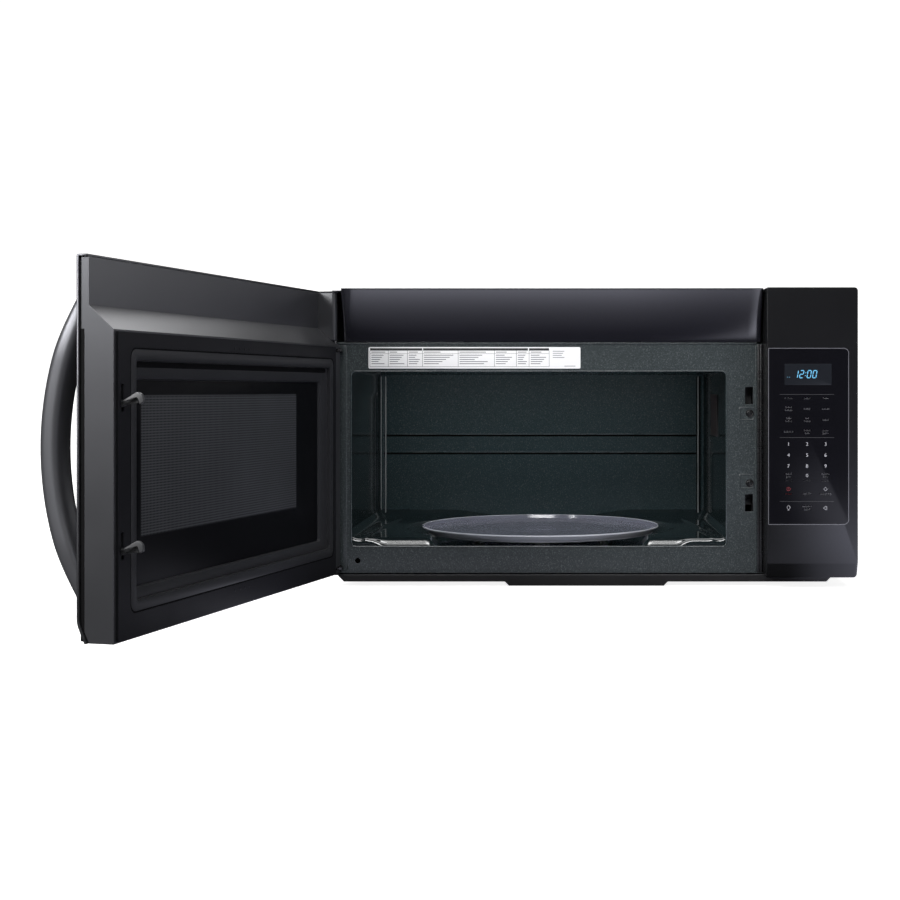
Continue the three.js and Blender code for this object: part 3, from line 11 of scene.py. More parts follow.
import bmesh
import bpy
import numpy as np
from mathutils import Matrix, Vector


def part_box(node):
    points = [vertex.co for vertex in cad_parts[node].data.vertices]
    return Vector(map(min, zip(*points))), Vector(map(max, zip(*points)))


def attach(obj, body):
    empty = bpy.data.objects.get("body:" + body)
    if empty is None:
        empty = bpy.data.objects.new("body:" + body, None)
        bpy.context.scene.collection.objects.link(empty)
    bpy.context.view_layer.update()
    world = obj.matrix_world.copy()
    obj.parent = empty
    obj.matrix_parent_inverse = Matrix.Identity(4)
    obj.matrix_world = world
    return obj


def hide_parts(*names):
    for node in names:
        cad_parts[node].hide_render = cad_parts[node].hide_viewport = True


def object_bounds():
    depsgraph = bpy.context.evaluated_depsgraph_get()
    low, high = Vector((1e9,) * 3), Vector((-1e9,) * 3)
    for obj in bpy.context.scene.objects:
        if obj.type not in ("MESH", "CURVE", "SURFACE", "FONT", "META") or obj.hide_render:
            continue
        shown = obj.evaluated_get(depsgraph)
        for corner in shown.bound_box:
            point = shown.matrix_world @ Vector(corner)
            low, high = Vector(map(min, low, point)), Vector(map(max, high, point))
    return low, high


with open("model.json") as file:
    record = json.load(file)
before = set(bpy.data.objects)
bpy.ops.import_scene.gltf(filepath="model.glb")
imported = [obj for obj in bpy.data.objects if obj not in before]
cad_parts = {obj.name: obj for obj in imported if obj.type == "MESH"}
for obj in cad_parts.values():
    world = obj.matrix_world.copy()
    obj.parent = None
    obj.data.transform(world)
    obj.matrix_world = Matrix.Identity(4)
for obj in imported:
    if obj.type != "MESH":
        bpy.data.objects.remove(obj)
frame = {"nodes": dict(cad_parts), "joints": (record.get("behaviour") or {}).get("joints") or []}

bl_info = {
    "name": "Over-the-range oven surfaces",
    "version": (1, 0, 0),
    "blender": (4, 5, 0),
    "location": "3D View > Sidebar > Oven",
    "description": "Builds the visible surfaces of an over-the-range microwave oven",
    "category": "Add Mesh",
}

CAD_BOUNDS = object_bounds()
MM = 1000.0
# Points nearer than WELD metres become one, and edges shorter than SLIVER metres go.
WELD, SLIVER = 2e-6, 1e-7
SWING = next(j for j in frame["joints"] if j["name"] == "door_swing")
HINGE = np.array(SWING["pos_m"]) * MM
OPEN = math.radians(SWING["range_deg"][1])


def span(node):
    """Lowest and highest corner of a CAD node at rest, in millimetres to a thousandth."""
    return [np.round(np.array(corner) * MM, 3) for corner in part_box(node)]


# ------------------------------------------------------------------ shapes
def opened(points):
    """Closed-door points turned about the hinge line by minus the opening angle:
    each plan offset (a, b) from the hinge becomes (a cos + b sin, b cos - a sin)."""
    c, s = math.cos(OPEN), math.sin(OPEN)
    moved = np.array(points, float)
    away = moved[..., :2] - HINGE[:2]
    moved[..., 0] = HINGE[0] + c * away[..., 0] + s * away[..., 1]
    moved[..., 1] = HINGE[1] - s * away[..., 0] + c * away[..., 1]
    return moved


def smooth(edge0, edge1, value):
    """Rises from 0 at edge0 to 1 at edge1 as 3t squared minus 2t cubed."""
    t = np.clip((value - edge0) / (edge1 - edge0), 0, 1)
    return t * t * (3 - 2 * t)


def hump(value, centre, width):
    """A bell curve of height 1: e to the minus square of the distance over the width."""
    return np.exp(-(((value - centre) / width) ** 2))


def quads(rows, columns, wrap_rows=False, wrap_columns=False):
    """Faces between neighbouring points of a grid that is numbered row by row."""
    r = np.arange(rows if wrap_rows else rows - 1)
    c = np.arange(columns if wrap_columns else columns - 1)
    r, c = np.meshgrid(r, c, indexing="ij")
    r1, c1 = (r + 1) % rows, (c + 1) % columns
    corners = [r * columns + c, r * columns + c1, r1 * columns + c1, r1 * columns + c]
    return np.stack(corners, -1).reshape(-1, 4)


def tube(loops, closed=False):
    """A shell from closed outlines one after another: quads join each to the next, and the
    first and last are filled, or joined to each other where the shell is closed."""
    loops = np.asarray(loops, float)
    rows, columns = loops.shape[:2]
    faces = quads(rows, columns, closed, True).tolist()
    if not closed:
        ends = np.arange(columns)
        faces += [ends[::-1].tolist(), (ends + (rows - 1) * columns).tolist()]
    return loops.reshape(-1, 3), faces


def slab(front, back):
    """A closed sheet between two grids of the same size: both grids and a strip of quads
    round their common border."""
    rows, columns = front.shape[:2]
    count = rows * columns
    near = quads(rows, columns)
    number = np.arange(count).reshape(rows, columns)
    ring = np.concatenate(
        [number[0], number[1:, -1], number[-1, -2::-1], number[-2:0:-1, 0]]
    )
    after = np.roll(ring, -1)
    strip = np.stack([ring, after, after + count, ring + count], -1)
    faces = np.concatenate([near, near[:, ::-1] + count, strip])
    return np.concatenate([front.reshape(-1, 3), back.reshape(-1, 3)]), faces.tolist()


def cells(us, vs, keep, low, high):
    """A flat sheet of rectangular cells with some left out: kept cells have a face on both
    sides, and a wall stands wherever a kept cell borders an empty one. Points are (u, v, w)."""
    us, vs = np.asarray(us, float), np.asarray(vs, float)
    u, v = np.meshgrid(us, vs, indexing="ij")
    points = np.concatenate(
        [np.stack([u, v, np.full_like(u, w)], -1).reshape(-1, 3) for w in (low, high)]
    )
    n = len(us) * len(vs)
    at = np.arange(n).reshape(len(us), len(vs))
    i, j = np.nonzero(keep)
    flat = np.stack([at[i, j], at[i + 1, j], at[i + 1, j + 1], at[i, j + 1]], -1)
    padded = np.pad(keep, 1)
    a, b = np.nonzero(padded[:-1, 1:-1] != padded[1:, 1:-1])
    wall_u = np.stack([at[a, b], at[a, b + 1], at[a, b + 1] + n, at[a, b] + n], -1)
    c, d = np.nonzero(padded[1:-1, :-1] != padded[1:-1, 1:])
    wall_v = np.stack([at[c, d], at[c + 1, d], at[c + 1, d] + n, at[c, d] + n], -1)
    faces = np.concatenate([flat[:, ::-1], flat + n, wall_u, wall_v])
    return points, faces.tolist()


def swap(shell, order):
    """The same shell with its three coordinates in another order."""
    return shell[0][:, order], shell[1]


def round_box(x0, x1, z0, z1, radii, arc=6):
    """Outline of a rectangle with a quarter circle at each corner, as points (x, z) from the
    top right corner anticlockwise. The radii are one number or one for each corner."""
    radii = np.maximum(np.broadcast_to(np.asarray(radii, float), 4), 0.02)
    turn = np.linspace(0, math.pi / 2, arc + 1)
    corners = [(x1, z1, -1, -1), (x0, z1, 1, -1), (x0, z0, 1, 1), (x1, z0, -1, 1)]
    parts = []
    for k, (x, z, sx, sz) in enumerate(corners):
        a = turn + k * math.pi / 2
        r = radii[k]
        parts.append(np.stack([x + sx * r + r * np.cos(a), z + sz * r + r * np.sin(a)], -1))
    return np.concatenate(parts)


def upright(outline, y):
    """Outline points (x, z) at depth y, as points (x, y, z)."""
    return np.stack([outline[:, 0], np.full(len(outline), float(y)), outline[:, 1]], -1)


def cushion(x0, x1, z0, z1, y_back, y_front, radii, edge=0.6, steps=4):
    """A flat block that faces -Y or +Y with a rounded front edge: a stack of outlines that
    shrink by edge times (1 - cos) while the depth runs on by edge times sin."""
    radii = np.broadcast_to(np.asarray(radii, float), 4)
    toward = math.copysign(1, y_front - y_back)
    loops = [upright(round_box(x0, x1, z0, z1, radii), y_back)]
    for a in np.linspace(0, math.pi / 2, steps + 1):
        inset = edge * (1 - math.cos(a))
        y = y_front - toward * edge * (1 - math.sin(a))
        box = round_box(x0 + inset, x1 - inset, z0 + inset, z1 - inset, radii - inset)
        loops.append(upright(box, y))
    return tube(loops)


def terrace(levels):
    """A stack of rounded rectangles with the same number of points; each level is
    (x0, x1, z0, z1, corner radius, y)."""
    return np.array([upright(round_box(*level[:5]), level[5]) for level in levels])


def outward(profile):
    """Unit normals of a closed profile (a, b), square to the line between both neighbours."""
    after = np.roll(profile, -1, 0)
    along = after - np.roll(profile, 1, 0)
    normal = np.stack([along[:, 1], -along[:, 0]], -1)
    normal /= np.maximum(np.linalg.norm(normal, axis=1, keepdims=True), 1e-9)
    area = np.sum(profile[:, 0] * after[:, 1] - after[:, 0] * profile[:, 1])
    return normal if area > 0 else -normal


def softened(profile, radius, steps=4):
    """A polygon (a, b) with each corner replaced by a curve: points of the quadratic curve
    that starts and ends at the radius from the corner, or at 0.4 of a shorter side."""
    profile = np.asarray(profile, float)
    radius = np.broadcast_to(np.asarray(radius, float), len(profile))
    before, after = np.roll(profile, 1, 0), np.roll(profile, -1, 0)
    to_before, to_after = before - profile, after - profile
    lb = np.linalg.norm(to_before, axis=1, keepdims=True)
    la = np.linalg.norm(to_after, axis=1, keepdims=True)
    start = profile + to_before / lb * np.minimum(radius[:, None], 0.4 * lb)
    end = profile + to_after / la * np.minimum(radius[:, None], 0.4 * la)
    t = np.linspace(0, 1, steps + 1)[None, :, None]
    curve = (1 - t) ** 2 * start[:, None] + 2 * t * (1 - t) * profile[:, None] + t**2 * end[:, None]
    return curve.reshape(-1, 2)


def bar(profile, x0, x1, edge=1.0, weights=(1.0, 1.0), steps=4):
    """A profile (y, z) carried from x0 to x1, its ends rounded: near an end it shrinks along
    its normals by edge times (1 - cos) while x runs on by edge times sin."""
    profile = np.asarray(profile, float)
    normal = outward(profile) * np.asarray(weights)
    a = np.linspace(0, math.pi / 2, steps + 1)
    shrink = np.concatenate([edge * (1 - np.sin(a)), edge * (1 - np.cos(a))])
    xs = np.concatenate([x0 + edge * (1 - np.cos(a)), x1 - edge * (1 - np.sin(a))])
    loops = profile[None] - normal[None] * shrink[:, None, None]
    x = np.broadcast_to(xs[:, None], loops.shape[:2])
    return tube(np.stack([x, loops[..., 0], loops[..., 1]], -1))


def lathe(profile, x, y, sides=96):
    """A closed profile (radius, height) turned about the upright line through (x, y). A
    profile that touches the axis closes there in one point."""
    profile = np.asarray(profile, float)
    a = np.linspace(0, 2 * math.pi, sides, endpoint=False)[:, None]
    r = profile[None, :, 0]
    h = np.broadcast_to(profile[None, :, 1], (sides, len(profile)))
    points = np.stack([x + r * np.cos(a), y + r * np.sin(a), h], -1)
    return points.reshape(-1, 3), quads(sides, len(profile), True, True).tolist()


def lathe_between(profile, centre, direction, sides=32):
    """A closed profile (radius, distance) turned about any line: the two vectors square to
    the direction carry cos and sin of the angle."""
    profile = np.asarray(profile, float)
    d = np.asarray(direction, float) / np.linalg.norm(direction)
    helper = np.array([0, 0, 1.0]) if abs(d[2]) < 0.9 else np.array([1.0, 0, 0])
    e = np.cross(d, helper)
    e /= np.linalg.norm(e)
    f = np.cross(d, e)
    a = np.linspace(0, 2 * math.pi, sides, endpoint=False)[:, None, None]
    ring = np.cos(a) * e + np.sin(a) * f
    points = np.asarray(centre) + profile[None, :, :1] * ring + profile[None, :, 1:] * d
    return points.reshape(-1, 3), quads(sides, len(profile), True, True).tolist()


def ribbon(path, width, y_back, y_front, closed=False):
    """A flat line of one width along a path (x, z): at each point the two sides lie half the
    width away along the normal, once at each depth."""
    path = np.asarray(path, float)
    if closed:
        along = np.roll(path, -1, 0) - np.roll(path, 1, 0)
    else:
        along = np.gradient(path, axis=0)
    along /= np.linalg.norm(along, axis=1, keepdims=True)
    side = np.stack([-along[:, 1], along[:, 0]], -1) * width / 2
    corners = ((side, y_back), (-side, y_back), (-side, y_front), (side, y_front))
    return tube(np.stack([upright(path + shift, y) for shift, y in corners], 1), closed)


def seven_segments(text, x0, z0, width, height, lean, y_back, y_front):
    """Digits of a display from six-sided bars: each bar is a stretched hexagon between two
    corners of the digit's cell, and x grows by lean times the height above the base."""
    lit = {"0": "abcdef", "1": "bc", "2": "abged", "3": "abgcd", "4": "fgbc"}
    lit.update({"5": "afgcd", "6": "afgedc", "7": "abc", "8": "abcdefg", "9": "abcdfg"})
    # Half a bar's thickness as a share of the height, the gap at a bar's end as a share of
    # that, and how far a digit and a colon move on as shares of the width.
    stroke, trim, digit_step, colon_step = 0.058, 0.35, 1.62, 0.55
    t = height * stroke
    w, h = width, height
    ends = {
        "a": ((0, h), (w, h)),
        "b": ((w, h), (w, h / 2)),
        "c": ((w, h / 2), (w, 0)),
        "d": ((0, 0), (w, 0)),
        "e": ((0, h / 2), (0, 0)),
        "f": ((0, h), (0, h / 2)),
        "g": ((0, h / 2), (w, h / 2)),
    }
    shells = []
    x = x0
    for mark in text:
        if mark == ":":
            for share in (0.3, 0.7):
                dot = round_box(x - t, x + t, z0 + h * share - t, z0 + h * share + t, t * 0.9, 3)
                dot[:, 0] += (dot[:, 1] - z0) * lean
                shells.append(tube([upright(dot, y_back), upright(dot, y_front)]))
            x += width * colon_step
            continue
        for name in lit[mark]:
            p, q = (np.array(e, float) for e in ends[name])
            d = (q - p) / np.linalg.norm(q - p)
            n = np.array([-d[1], d[0]]) * t
            a, b = p + d * t * trim, q - d * t * trim
            outline = np.array([a, a + d * t + n, b - d * t + n, b, b - d * t - n, a + d * t - n])
            outline += (x, z0)
            outline[:, 0] += (outline[:, 1] - z0) * lean
            shells.append(tube([upright(outline, y_back), upright(outline, y_front)]))
        x += width * digit_step
    return shells


def digit_shapes(text, x, z, height, y_back, y_front):
    """A short number in the built-in font, scaled to the height and centred on (x, z). Its
    curve is 1 deep, from -0.5 to 0.5, and that depth is made to run from y_back to y_front."""
    curve = bpy.data.curves.new("digit", "FONT")
    curve.body = text
    curve.extrude = 0.5
    curve.resolution_u = 4
    holder = bpy.data.objects.new("digit", curve)
    mesh = bpy.data.meshes.new_from_object(holder)
    points = np.zeros(len(mesh.vertices) * 3)
    mesh.vertices.foreach_get("co", points)
    points = points.reshape(-1, 3)
    faces = [list(p.vertices) for p in mesh.polygons]
    low, high = points.min(0), points.max(0)
    scale = height / (high[1] - low[1])
    flat = (points[:, :2] - (low[:2] + high[:2]) / 2) * scale
    depth = y_back + (points[:, 2] + 0.5) * (y_front - y_back)
    bpy.data.objects.remove(holder)
    bpy.data.meshes.remove(mesh)
    bpy.data.curves.remove(curve)
    return np.stack([x + flat[:, 0], depth, z + flat[:, 1]], -1), faces


def piece(name, shells, body, finish, replaces=(), door=False, crease=32):
    """One object from shells in millimetres. Its doubles are merged, its faces turned
    outwards, and edges sharper than the crease angle are shaded sharp."""
    points, faces, count = [], [], 0
    for p, f in shells:
        points.append(p)
        faces += [[i + count for i in face] for face in f]
        count += len(p)
    points = np.concatenate(points)
    if door:
        points = opened(points)
    mesh = bpy.data.meshes.new(name)
    mesh.from_pydata(points / MM, [], faces)
    work = bmesh.new()
    work.from_mesh(mesh)
    bmesh.ops.remove_doubles(work, verts=work.verts, dist=WELD)
    bmesh.ops.dissolve_degenerate(work, edges=work.edges, dist=SLIVER)
    bmesh.ops.recalc_face_normals(work, faces=work.faces)
    caps = [face for face in work.faces if len(face.verts) > 4]
    bmesh.ops.triangulate(work, faces=caps, ngon_method="EAR_CLIP")
    work.to_mesh(mesh)
    work.free()
    mesh.shade_smooth()
    mesh.set_sharp_from_angle(angle=math.radians(crease))
    mesh.materials.append(finish)
    made = bpy.data.objects.new(name, mesh)
    bpy.context.scene.collection.objects.link(made)
    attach(made, body)
    if replaces:
        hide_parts(*replaces)
    return made


def dress(finish, *nodes):
    """Gives CAD nodes that keep their own shape a finish."""
    for name in nodes:
        mesh = frame["nodes"][name].data
        mesh.materials.clear()
        mesh.materials.append(finish)


# ------------------------------------------------------------------ finishes
class Wire:
    """A number in a material. Python's operators on it add Math nodes."""

    def __init__(self, finish, socket):
        self.finish = finish
        self.socket = socket

    def math(self, operation, *others):
        """A Math node's answer to this number and the others."""
        return self.finish.math(operation, self, *others)

    def __add__(self, other):
        return self.math("ADD", other)

    __radd__ = __add__

    def __mul__(self, other):
        return self.math("MULTIPLY", other)

    __rmul__ = __mul__

    def __sub__(self, other):
        return self.math("SUBTRACT", other)

    def __rsub__(self, other):
        return self.finish.math("SUBTRACT", other, self)

    def __truediv__(self, other):
        return self.math("DIVIDE", other)

    def part(self):
        """What is left of the number above the whole number below it."""
        return self.math("FRACT")

    def step(self, low, high):
        """0 below low and 1 above high, smooth in between."""
        sockets = {"Value": self, "From Min": low, "From Max": high}
        made = self.finish.node("ShaderNodeMapRange", {"interpolation_type": "SMOOTHSTEP"}, sockets)
        return Wire(self.finish, made.outputs[0])


class Finish:
    """One procedural material, or the world, and the few ways in which its nodes are added."""

    def __init__(self, name, door=False, kind="materials"):
        self.holder = getattr(bpy.data, kind).new(name)
        self.holder.use_nodes = True
        self.tree = self.holder.node_tree
        self.tree.nodes.clear()
        self.door = door

    def node(self, kind, settings=None, sockets=None):
        """A node of a type: its settings first, then the values or links of its sockets."""
        made = self.tree.nodes.new(kind)
        for key, value in (settings or {}).items():
            setattr(made, key, value)
        for key, value in (sockets or {}).items():
            self.feed(made.inputs[key], value)
        return made

    def feed(self, socket, value):
        """Links a wire or an output to a socket, or sets the socket's own value."""
        if isinstance(value, Wire):
            value = value.socket
        if isinstance(value, bpy.types.NodeSocket):
            self.tree.links.new(value, socket)
        elif socket.type == "RGBA":
            socket.default_value = (*value[:3], 1.0)
        else:
            socket.default_value = value

    def math(self, operation, *values):
        """A Math node with numbers or wires for its inputs."""
        made = self.node("ShaderNodeMath", {"operation": operation}, dict(enumerate(values)))
        return Wire(self, made.outputs[0])

    def place(self, scale=(1.0, 1.0, 1.0)):
        """Object coordinates in metres, stretched by the scale. A door finish first turns
        them back to the closed door, so that its grain follows the door's own edges."""
        here = self.node("ShaderNodeTexCoord").outputs["Object"]
        if self.door:
            c, s = math.cos(OPEN), math.sin(OPEN)
            x, y = HINGE[:2] / MM
            shift = (x - (c * x - s * y), y - (s * x + c * y), 0.0)
            turn = {"Vector": here, "Rotation": (0, 0, OPEN), "Location": shift}
            here = self.node("ShaderNodeMapping", {"vector_type": "POINT"}, turn).outputs[0]
        if tuple(scale) != (1.0, 1.0, 1.0):
            here = self.node("ShaderNodeMapping", None, {"Vector": here, "Scale": scale}).outputs[0]
        return here

    def axes(self, vector):
        """The three numbers of a vector."""
        made = self.node("ShaderNodeSeparateXYZ", None, {0: vector})
        return [Wire(self, out) for out in made.outputs]

    def noise(self, where, scale, detail=2.0, rough=0.5):
        """A number that drifts round 0.5, with about so many swells to the metre."""
        sockets = {"Vector": where, "Scale": scale, "Detail": detail, "Roughness": rough}
        return Wire(self, self.node("ShaderNodeTexNoise", None, sockets).outputs["Fac"])

    def crystals(self, where, scale):
        """The random grey of each Voronoi cell, as zinc spangle has it."""
        made = self.node("ShaderNodeTexVoronoi", None, {"Vector": where, "Scale": scale})
        parts = self.node("ShaderNodeSeparateColor", None, {0: made.outputs["Color"]})
        return Wire(self, parts.outputs[0])

    def blend(self, low, high, share):
        """A colour between two, by a share from 0 to 1."""
        sockets = {0: share, 6: low, 7: high}
        settings = {"data_type": "RGBA", "clamp_factor": True}
        return self.node("ShaderNodeMix", settings, sockets).outputs[2]

    def bump(self, height, distance, strength=1.0, normal=None):
        """The normal of a relief whose height 1 stands for a distance in metres."""
        sockets = {"Height": height, "Distance": distance, "Strength": strength}
        if normal is not None:
            sockets["Normal"] = normal
        return self.node("ShaderNodeBump", None, sockets).outputs[0]

    def edges(self, radius):
        """The normal rounded off near edges, and a mask of them: how far the cosine between the rounded
        and the true normal falls below one. The finishes lighten edges by this mask: partly rubbed wear,
        partly a painted highlight."""
        soft = self.node("ShaderNodeBevel", {"samples": 4}, {"Radius": radius}).outputs[0]
        true = self.node("ShaderNodeNewGeometry").outputs["Normal"]
        product = self.node("ShaderNodeVectorMath", {"operation": "DOT_PRODUCT"}, {0: soft, 1: true})
        fall = 1.0 - Wire(self, product.outputs["Value"])
        return soft, fall.step(0.02, 0.30)

    def done(self, **sockets):
        """Ends the material in a Principled surface; words in socket names are joined by _."""
        named = {key.replace("_", " "): value for key, value in sockets.items()}
        shader = self.node("ShaderNodeBsdfPrincipled", None, named)
        self.node("ShaderNodeOutputMaterial", None, {"Surface": shader.outputs[0]})
        return self.holder


def shade(colour, factor):
    """A colour made lighter or darker by a factor."""
    return tuple(min(1.0, c * factor) for c in colour[:3])


def satin_metal(name, colour, rough=0.34, metal=0.75, door=False, along=(14.0, 1700.0, 1700.0)):
    """Coated sheet steel: fine brushing along X, soft cloudy sheen, edges lighter: partly rubbed wear,
    partly a painted highlight.
    """
    f = Finish(name, door)
    where = f.place()
    brush = f.noise(f.place(along), 1.0, 3.0, 0.6)
    cloud = f.noise(where, 9.0, 3.0)
    soft, wear_and_highlight = f.edges(0.0007)
    tone = f.blend(shade(colour, 0.90), shade(colour, 1.12), cloud * 0.6 + brush * 0.4)
    # Lighter edges: partly rubbed wear, partly a painted highlight.
    tone = f.blend(tone, shade(colour, 2.6), wear_and_highlight * 0.7)
    normal = f.bump(brush, 0.00001, 0.12, soft)
    return f.done(
        Base_Color=tone,
        Metallic=metal,
        Roughness=rough - 0.05 + brush * 0.06 + cloud * 0.06,
        Normal=normal,
    )


def orange_peel(name, colour, rough=0.45, door=False):
    """Baked paint: a low orange-peel ripple, slight colour drift, dusty dulling, edges lighter: partly
    rubbed wear, partly a painted highlight.
    """
    f = Finish(name, door)
    where = f.place()
    peel = f.noise(where, 520.0, 2.0)
    dust = f.noise(where, 14.0, 4.0, 0.6)
    soft, wear_and_highlight = f.edges(0.0008)
    tone = f.blend(shade(colour, 0.85), shade(colour, 1.18), dust)
    # Lighter edges: partly rubbed wear, partly a painted highlight.
    tone = f.blend(tone, shade(colour, 2.2), wear_and_highlight * 0.5)
    normal = f.bump(peel, 0.00006, 0.5, soft)
    return f.done(Base_Color=tone, Roughness=rough - 0.06 + dust * 0.14, Normal=normal)


def enamel(name, colour, fleck, rough=0.3, coat=0.3, strength=1.0, level=0.5):
    """Speckled enamel: dark flecks, pale flecks of two sizes and a faintly rippled coat."""
    f = Finish(name)
    where = f.place()
    coarse = f.noise(where, 620.0, 1.0)
    fine = f.noise(where, 1500.0, 1.0)
    ripple = f.noise(where, 60.0, 2.0)
    pale = coarse.step(0.56, 0.70) * 0.6 + fine.step(0.58, 0.72) * 0.6
    dark = f.noise(where, 840.0, 1.0).step(0.54, 0.70)
    tone = f.blend(colour, shade(colour, 0.45), dark * 0.75 * strength)
    tone = f.blend(tone, fleck, pale * strength)
    soft, wear_and_highlight = f.edges(0.0009)
    # Lighter edges: partly rubbed wear, partly a painted highlight.
    tone = f.blend(tone, shade(colour, 2.6), wear_and_highlight * 0.45)
    normal = f.bump(ripple * 0.7 + coarse * 0.3, 0.00005, 0.4, soft)
    return f.done(
        Base_Color=tone,
        Roughness=rough - 0.05 + ripple * 0.10,
        Specular_IOR_Level=level,
        Coat_Weight=coat,
        Coat_Roughness=0.08,
        Normal=normal,
    )


def glossy(name, colour, rough=0.1, door=False, coat=0.6, level=0.5, drift=0.15):
    """Polished moulding or glass-like face: faint waviness, wiped streaks in its gloss."""
    f = Finish(name, door)
    where = f.place()
    wave = f.noise(where, 16.0, 2.0)
    wiped = f.noise(f.place((6.0, 40.0, 60.0)), 1.0, 4.0, 0.65)
    soft, wear_and_highlight = f.edges(0.0006)
    tone = f.blend(shade(colour, 1 - drift), shade(colour, 1 + drift), wave)
    # Lighter edges: partly rubbed wear, partly a painted highlight.
    tone = f.blend(tone, shade(colour, 2.4), wear_and_highlight * 0.4)
    normal = f.bump(wave, 0.00006, 0.25, soft)
    return f.done(
        Base_Color=tone,
        Roughness=rough + wiped * rough * 0.5,
        Specular_IOR_Level=level,
        Coat_Weight=coat,
        Coat_Roughness=0.03,
        Normal=normal,
    )


def moulded(name, colour, rough=0.45, door=False, grain=1100.0, level=0.5):
    """Moulded plastic: a fine spark-eroded grain, uneven sheen, and edges lighter: partly rubbed wear,
    partly a painted highlight.
    """
    f = Finish(name, door)
    where = f.place()
    pits = f.noise(where, grain, 3.0, 0.6)
    sheen = f.noise(where, 22.0, 2.0)
    soft, wear_and_highlight = f.edges(0.0006)
    tone = f.blend(shade(colour, 0.88), shade(colour, 1.14), sheen * 0.7 + pits * 0.3)
    # Lighter edges: partly rubbed wear, partly a painted highlight.
    tone = f.blend(tone, shade(colour, 1.8), wear_and_highlight * 0.5)
    normal = f.bump(pits, 0.00005, 0.45, soft)
    return f.done(
        Base_Color=tone,
        Roughness=rough - 0.08 + sheen * 0.16,
        Specular_IOR_Level=level,
        Normal=normal,
    )


def zinc_sheet(name, colour, rough=0.38, cell=90.0):
    """Galvanised sheet: spangle crystals of differing brightness and roughness, rolling
    streaks and a dull bloom."""
    f = Finish(name)
    where = f.place()
    warp = f.noise(where, 40.0, 2.0)
    spangle = f.crystals(where, cell)
    fine = f.crystals(where, cell * 3.1)
    streak = f.noise(f.place((8.0, 200.0, 200.0)), 1.0, 2.0)
    soft, wear_and_highlight = f.edges(0.0007)
    mixed = spangle * 0.6 + fine * 0.2 + warp * 0.2
    tone = f.blend(shade(colour, 0.72), shade(colour, 1.12), mixed)
    # Lighter edges: partly rubbed wear, partly a painted highlight.
    tone = f.blend(tone, shade(colour, 1.3), wear_and_highlight * 0.5)
    normal = f.bump(spangle * 0.4 + streak * 0.6, 0.00003, 0.3, soft)
    return f.done(Base_Color=tone, Metallic=0.85, Roughness=rough - 0.1 + mixed * 0.2, Normal=normal)


def plated(name, colour=(0.62, 0.62, 0.60), rough=0.25):
    """Zinc-plated small parts: bright, slightly cloudy, with fine tool marks."""
    f = Finish(name)
    where = f.place()
    cloud = f.noise(where, 120.0, 3.0)
    marks = f.noise(f.place((40.0, 900.0, 900.0)), 1.0, 2.0)
    soft, wear_and_highlight = f.edges(0.0005)
    tone = f.blend(shade(colour, 0.78), shade(colour, 1.1), cloud)
    # Lighter edges: partly rubbed wear, partly a painted highlight.
    tone = f.blend(tone, shade(colour, 1.3), wear_and_highlight * 0.5)
    normal = f.bump(marks, 0.00002, 0.4, soft)
    return f.done(Base_Color=tone, Metallic=0.95, Roughness=rough - 0.05 + cloud * 0.14, Normal=normal)


def woven(name, colour, pitch=0.0016, slant=0.6):
    """Layered expanded-metal mesh of a grease filter: two slanted wave families that cross
    give the height of the strands and the darkness between them."""
    f = Finish(name)
    x, y, _ = f.axes(f.place())
    turn = 2 * math.pi / pitch
    one = ((x + y * slant) * turn).math("SINE")
    two = ((x - y * slant) * turn).math("SINE")
    weave = (one * two) * 0.5 + 0.5
    cloud = f.noise(f.place(), 60.0, 2.0)
    tone = f.blend(shade(colour, 0.18), colour, weave * 0.8 + cloud * 0.2)
    normal = f.bump(weave, 0.0004, 0.8)
    return f.done(Base_Color=tone, Metallic=0.8, Roughness=0.32 + cloud * 0.2, Normal=normal)


def clear_glass(name, colour, rough=0.03, through=0.8, level=0.5):
    """Pressed clear glass: a tinted body, flow ripples and a gloss that is dulled in places."""
    f = Finish(name)
    where = f.place()
    flow = f.noise(where, 30.0, 2.0)
    bloom = f.noise(where, 220.0, 2.0)
    tone = f.blend(shade(colour, 0.92), shade(colour, 1.06), flow)
    normal = f.bump(flow, 0.0003, 0.25)
    return f.done(
        Base_Color=tone,
        Roughness=rough + bloom * 0.03,
        Transmission_Weight=through,
        IOR=1.5,
        Specular_IOR_Level=level,
        Normal=normal,
    )


def screen_glass(name, back, sheet, holes):
    """Dark pane over a perforated sheet: square rows of round holes, drawn where the sheet
    can be seen, under a glass-smooth coat. x and z are the closed door's own."""
    f = Finish(name, True)
    here = f.place()
    x, _, z = f.axes(here)
    pitch = holes["pitch"] / MM
    u = (x / pitch).part() - 0.5
    v = (z / pitch).part() - 0.5
    distance = (u * u + v * v).math("SQRT")
    blur = 0.07
    metal = distance.step(holes["radius"] - blur, holes["radius"] + blur)
    x0, z0 = np.array(holes["low"]) / MM
    x1, z1 = np.array(holes["high"]) / MM
    fade = 0.002
    inside = x.step(x0 - fade, x0) * (1.0 - x.step(x1, x1 + fade))
    inside = inside * z.step(z0 - fade, z0) * (1.0 - z.step(z1, z1 + fade))
    cloud = f.noise(here, 12.0, 2.0)
    tone = f.blend(back, f.blend(shade(back, 0.6), sheet, metal), inside)
    tone = f.blend(tone, shade(back, 0.8), cloud * 0.25)
    normal = f.bump(cloud, 0.0001, 0.15)
    return f.done(
        Base_Color=tone,
        Roughness=0.30 + cloud * 0.05,
        Specular_IOR_Level=0.04,
        Normal=normal,
    )


def paper(name, colour):
    """Printed film: a barely uneven white with a faint satin grain."""
    f = Finish(name)
    where = f.place()
    grain = f.noise(where, 900.0, 2.0)
    drift = f.noise(where, 20.0, 2.0)
    tone = f.blend(shade(colour, 0.94), shade(colour, 1.02), drift)
    return f.done(Base_Color=tone, Roughness=0.42 + grain * 0.1, Normal=f.bump(grain, 0.00002, 0.3))


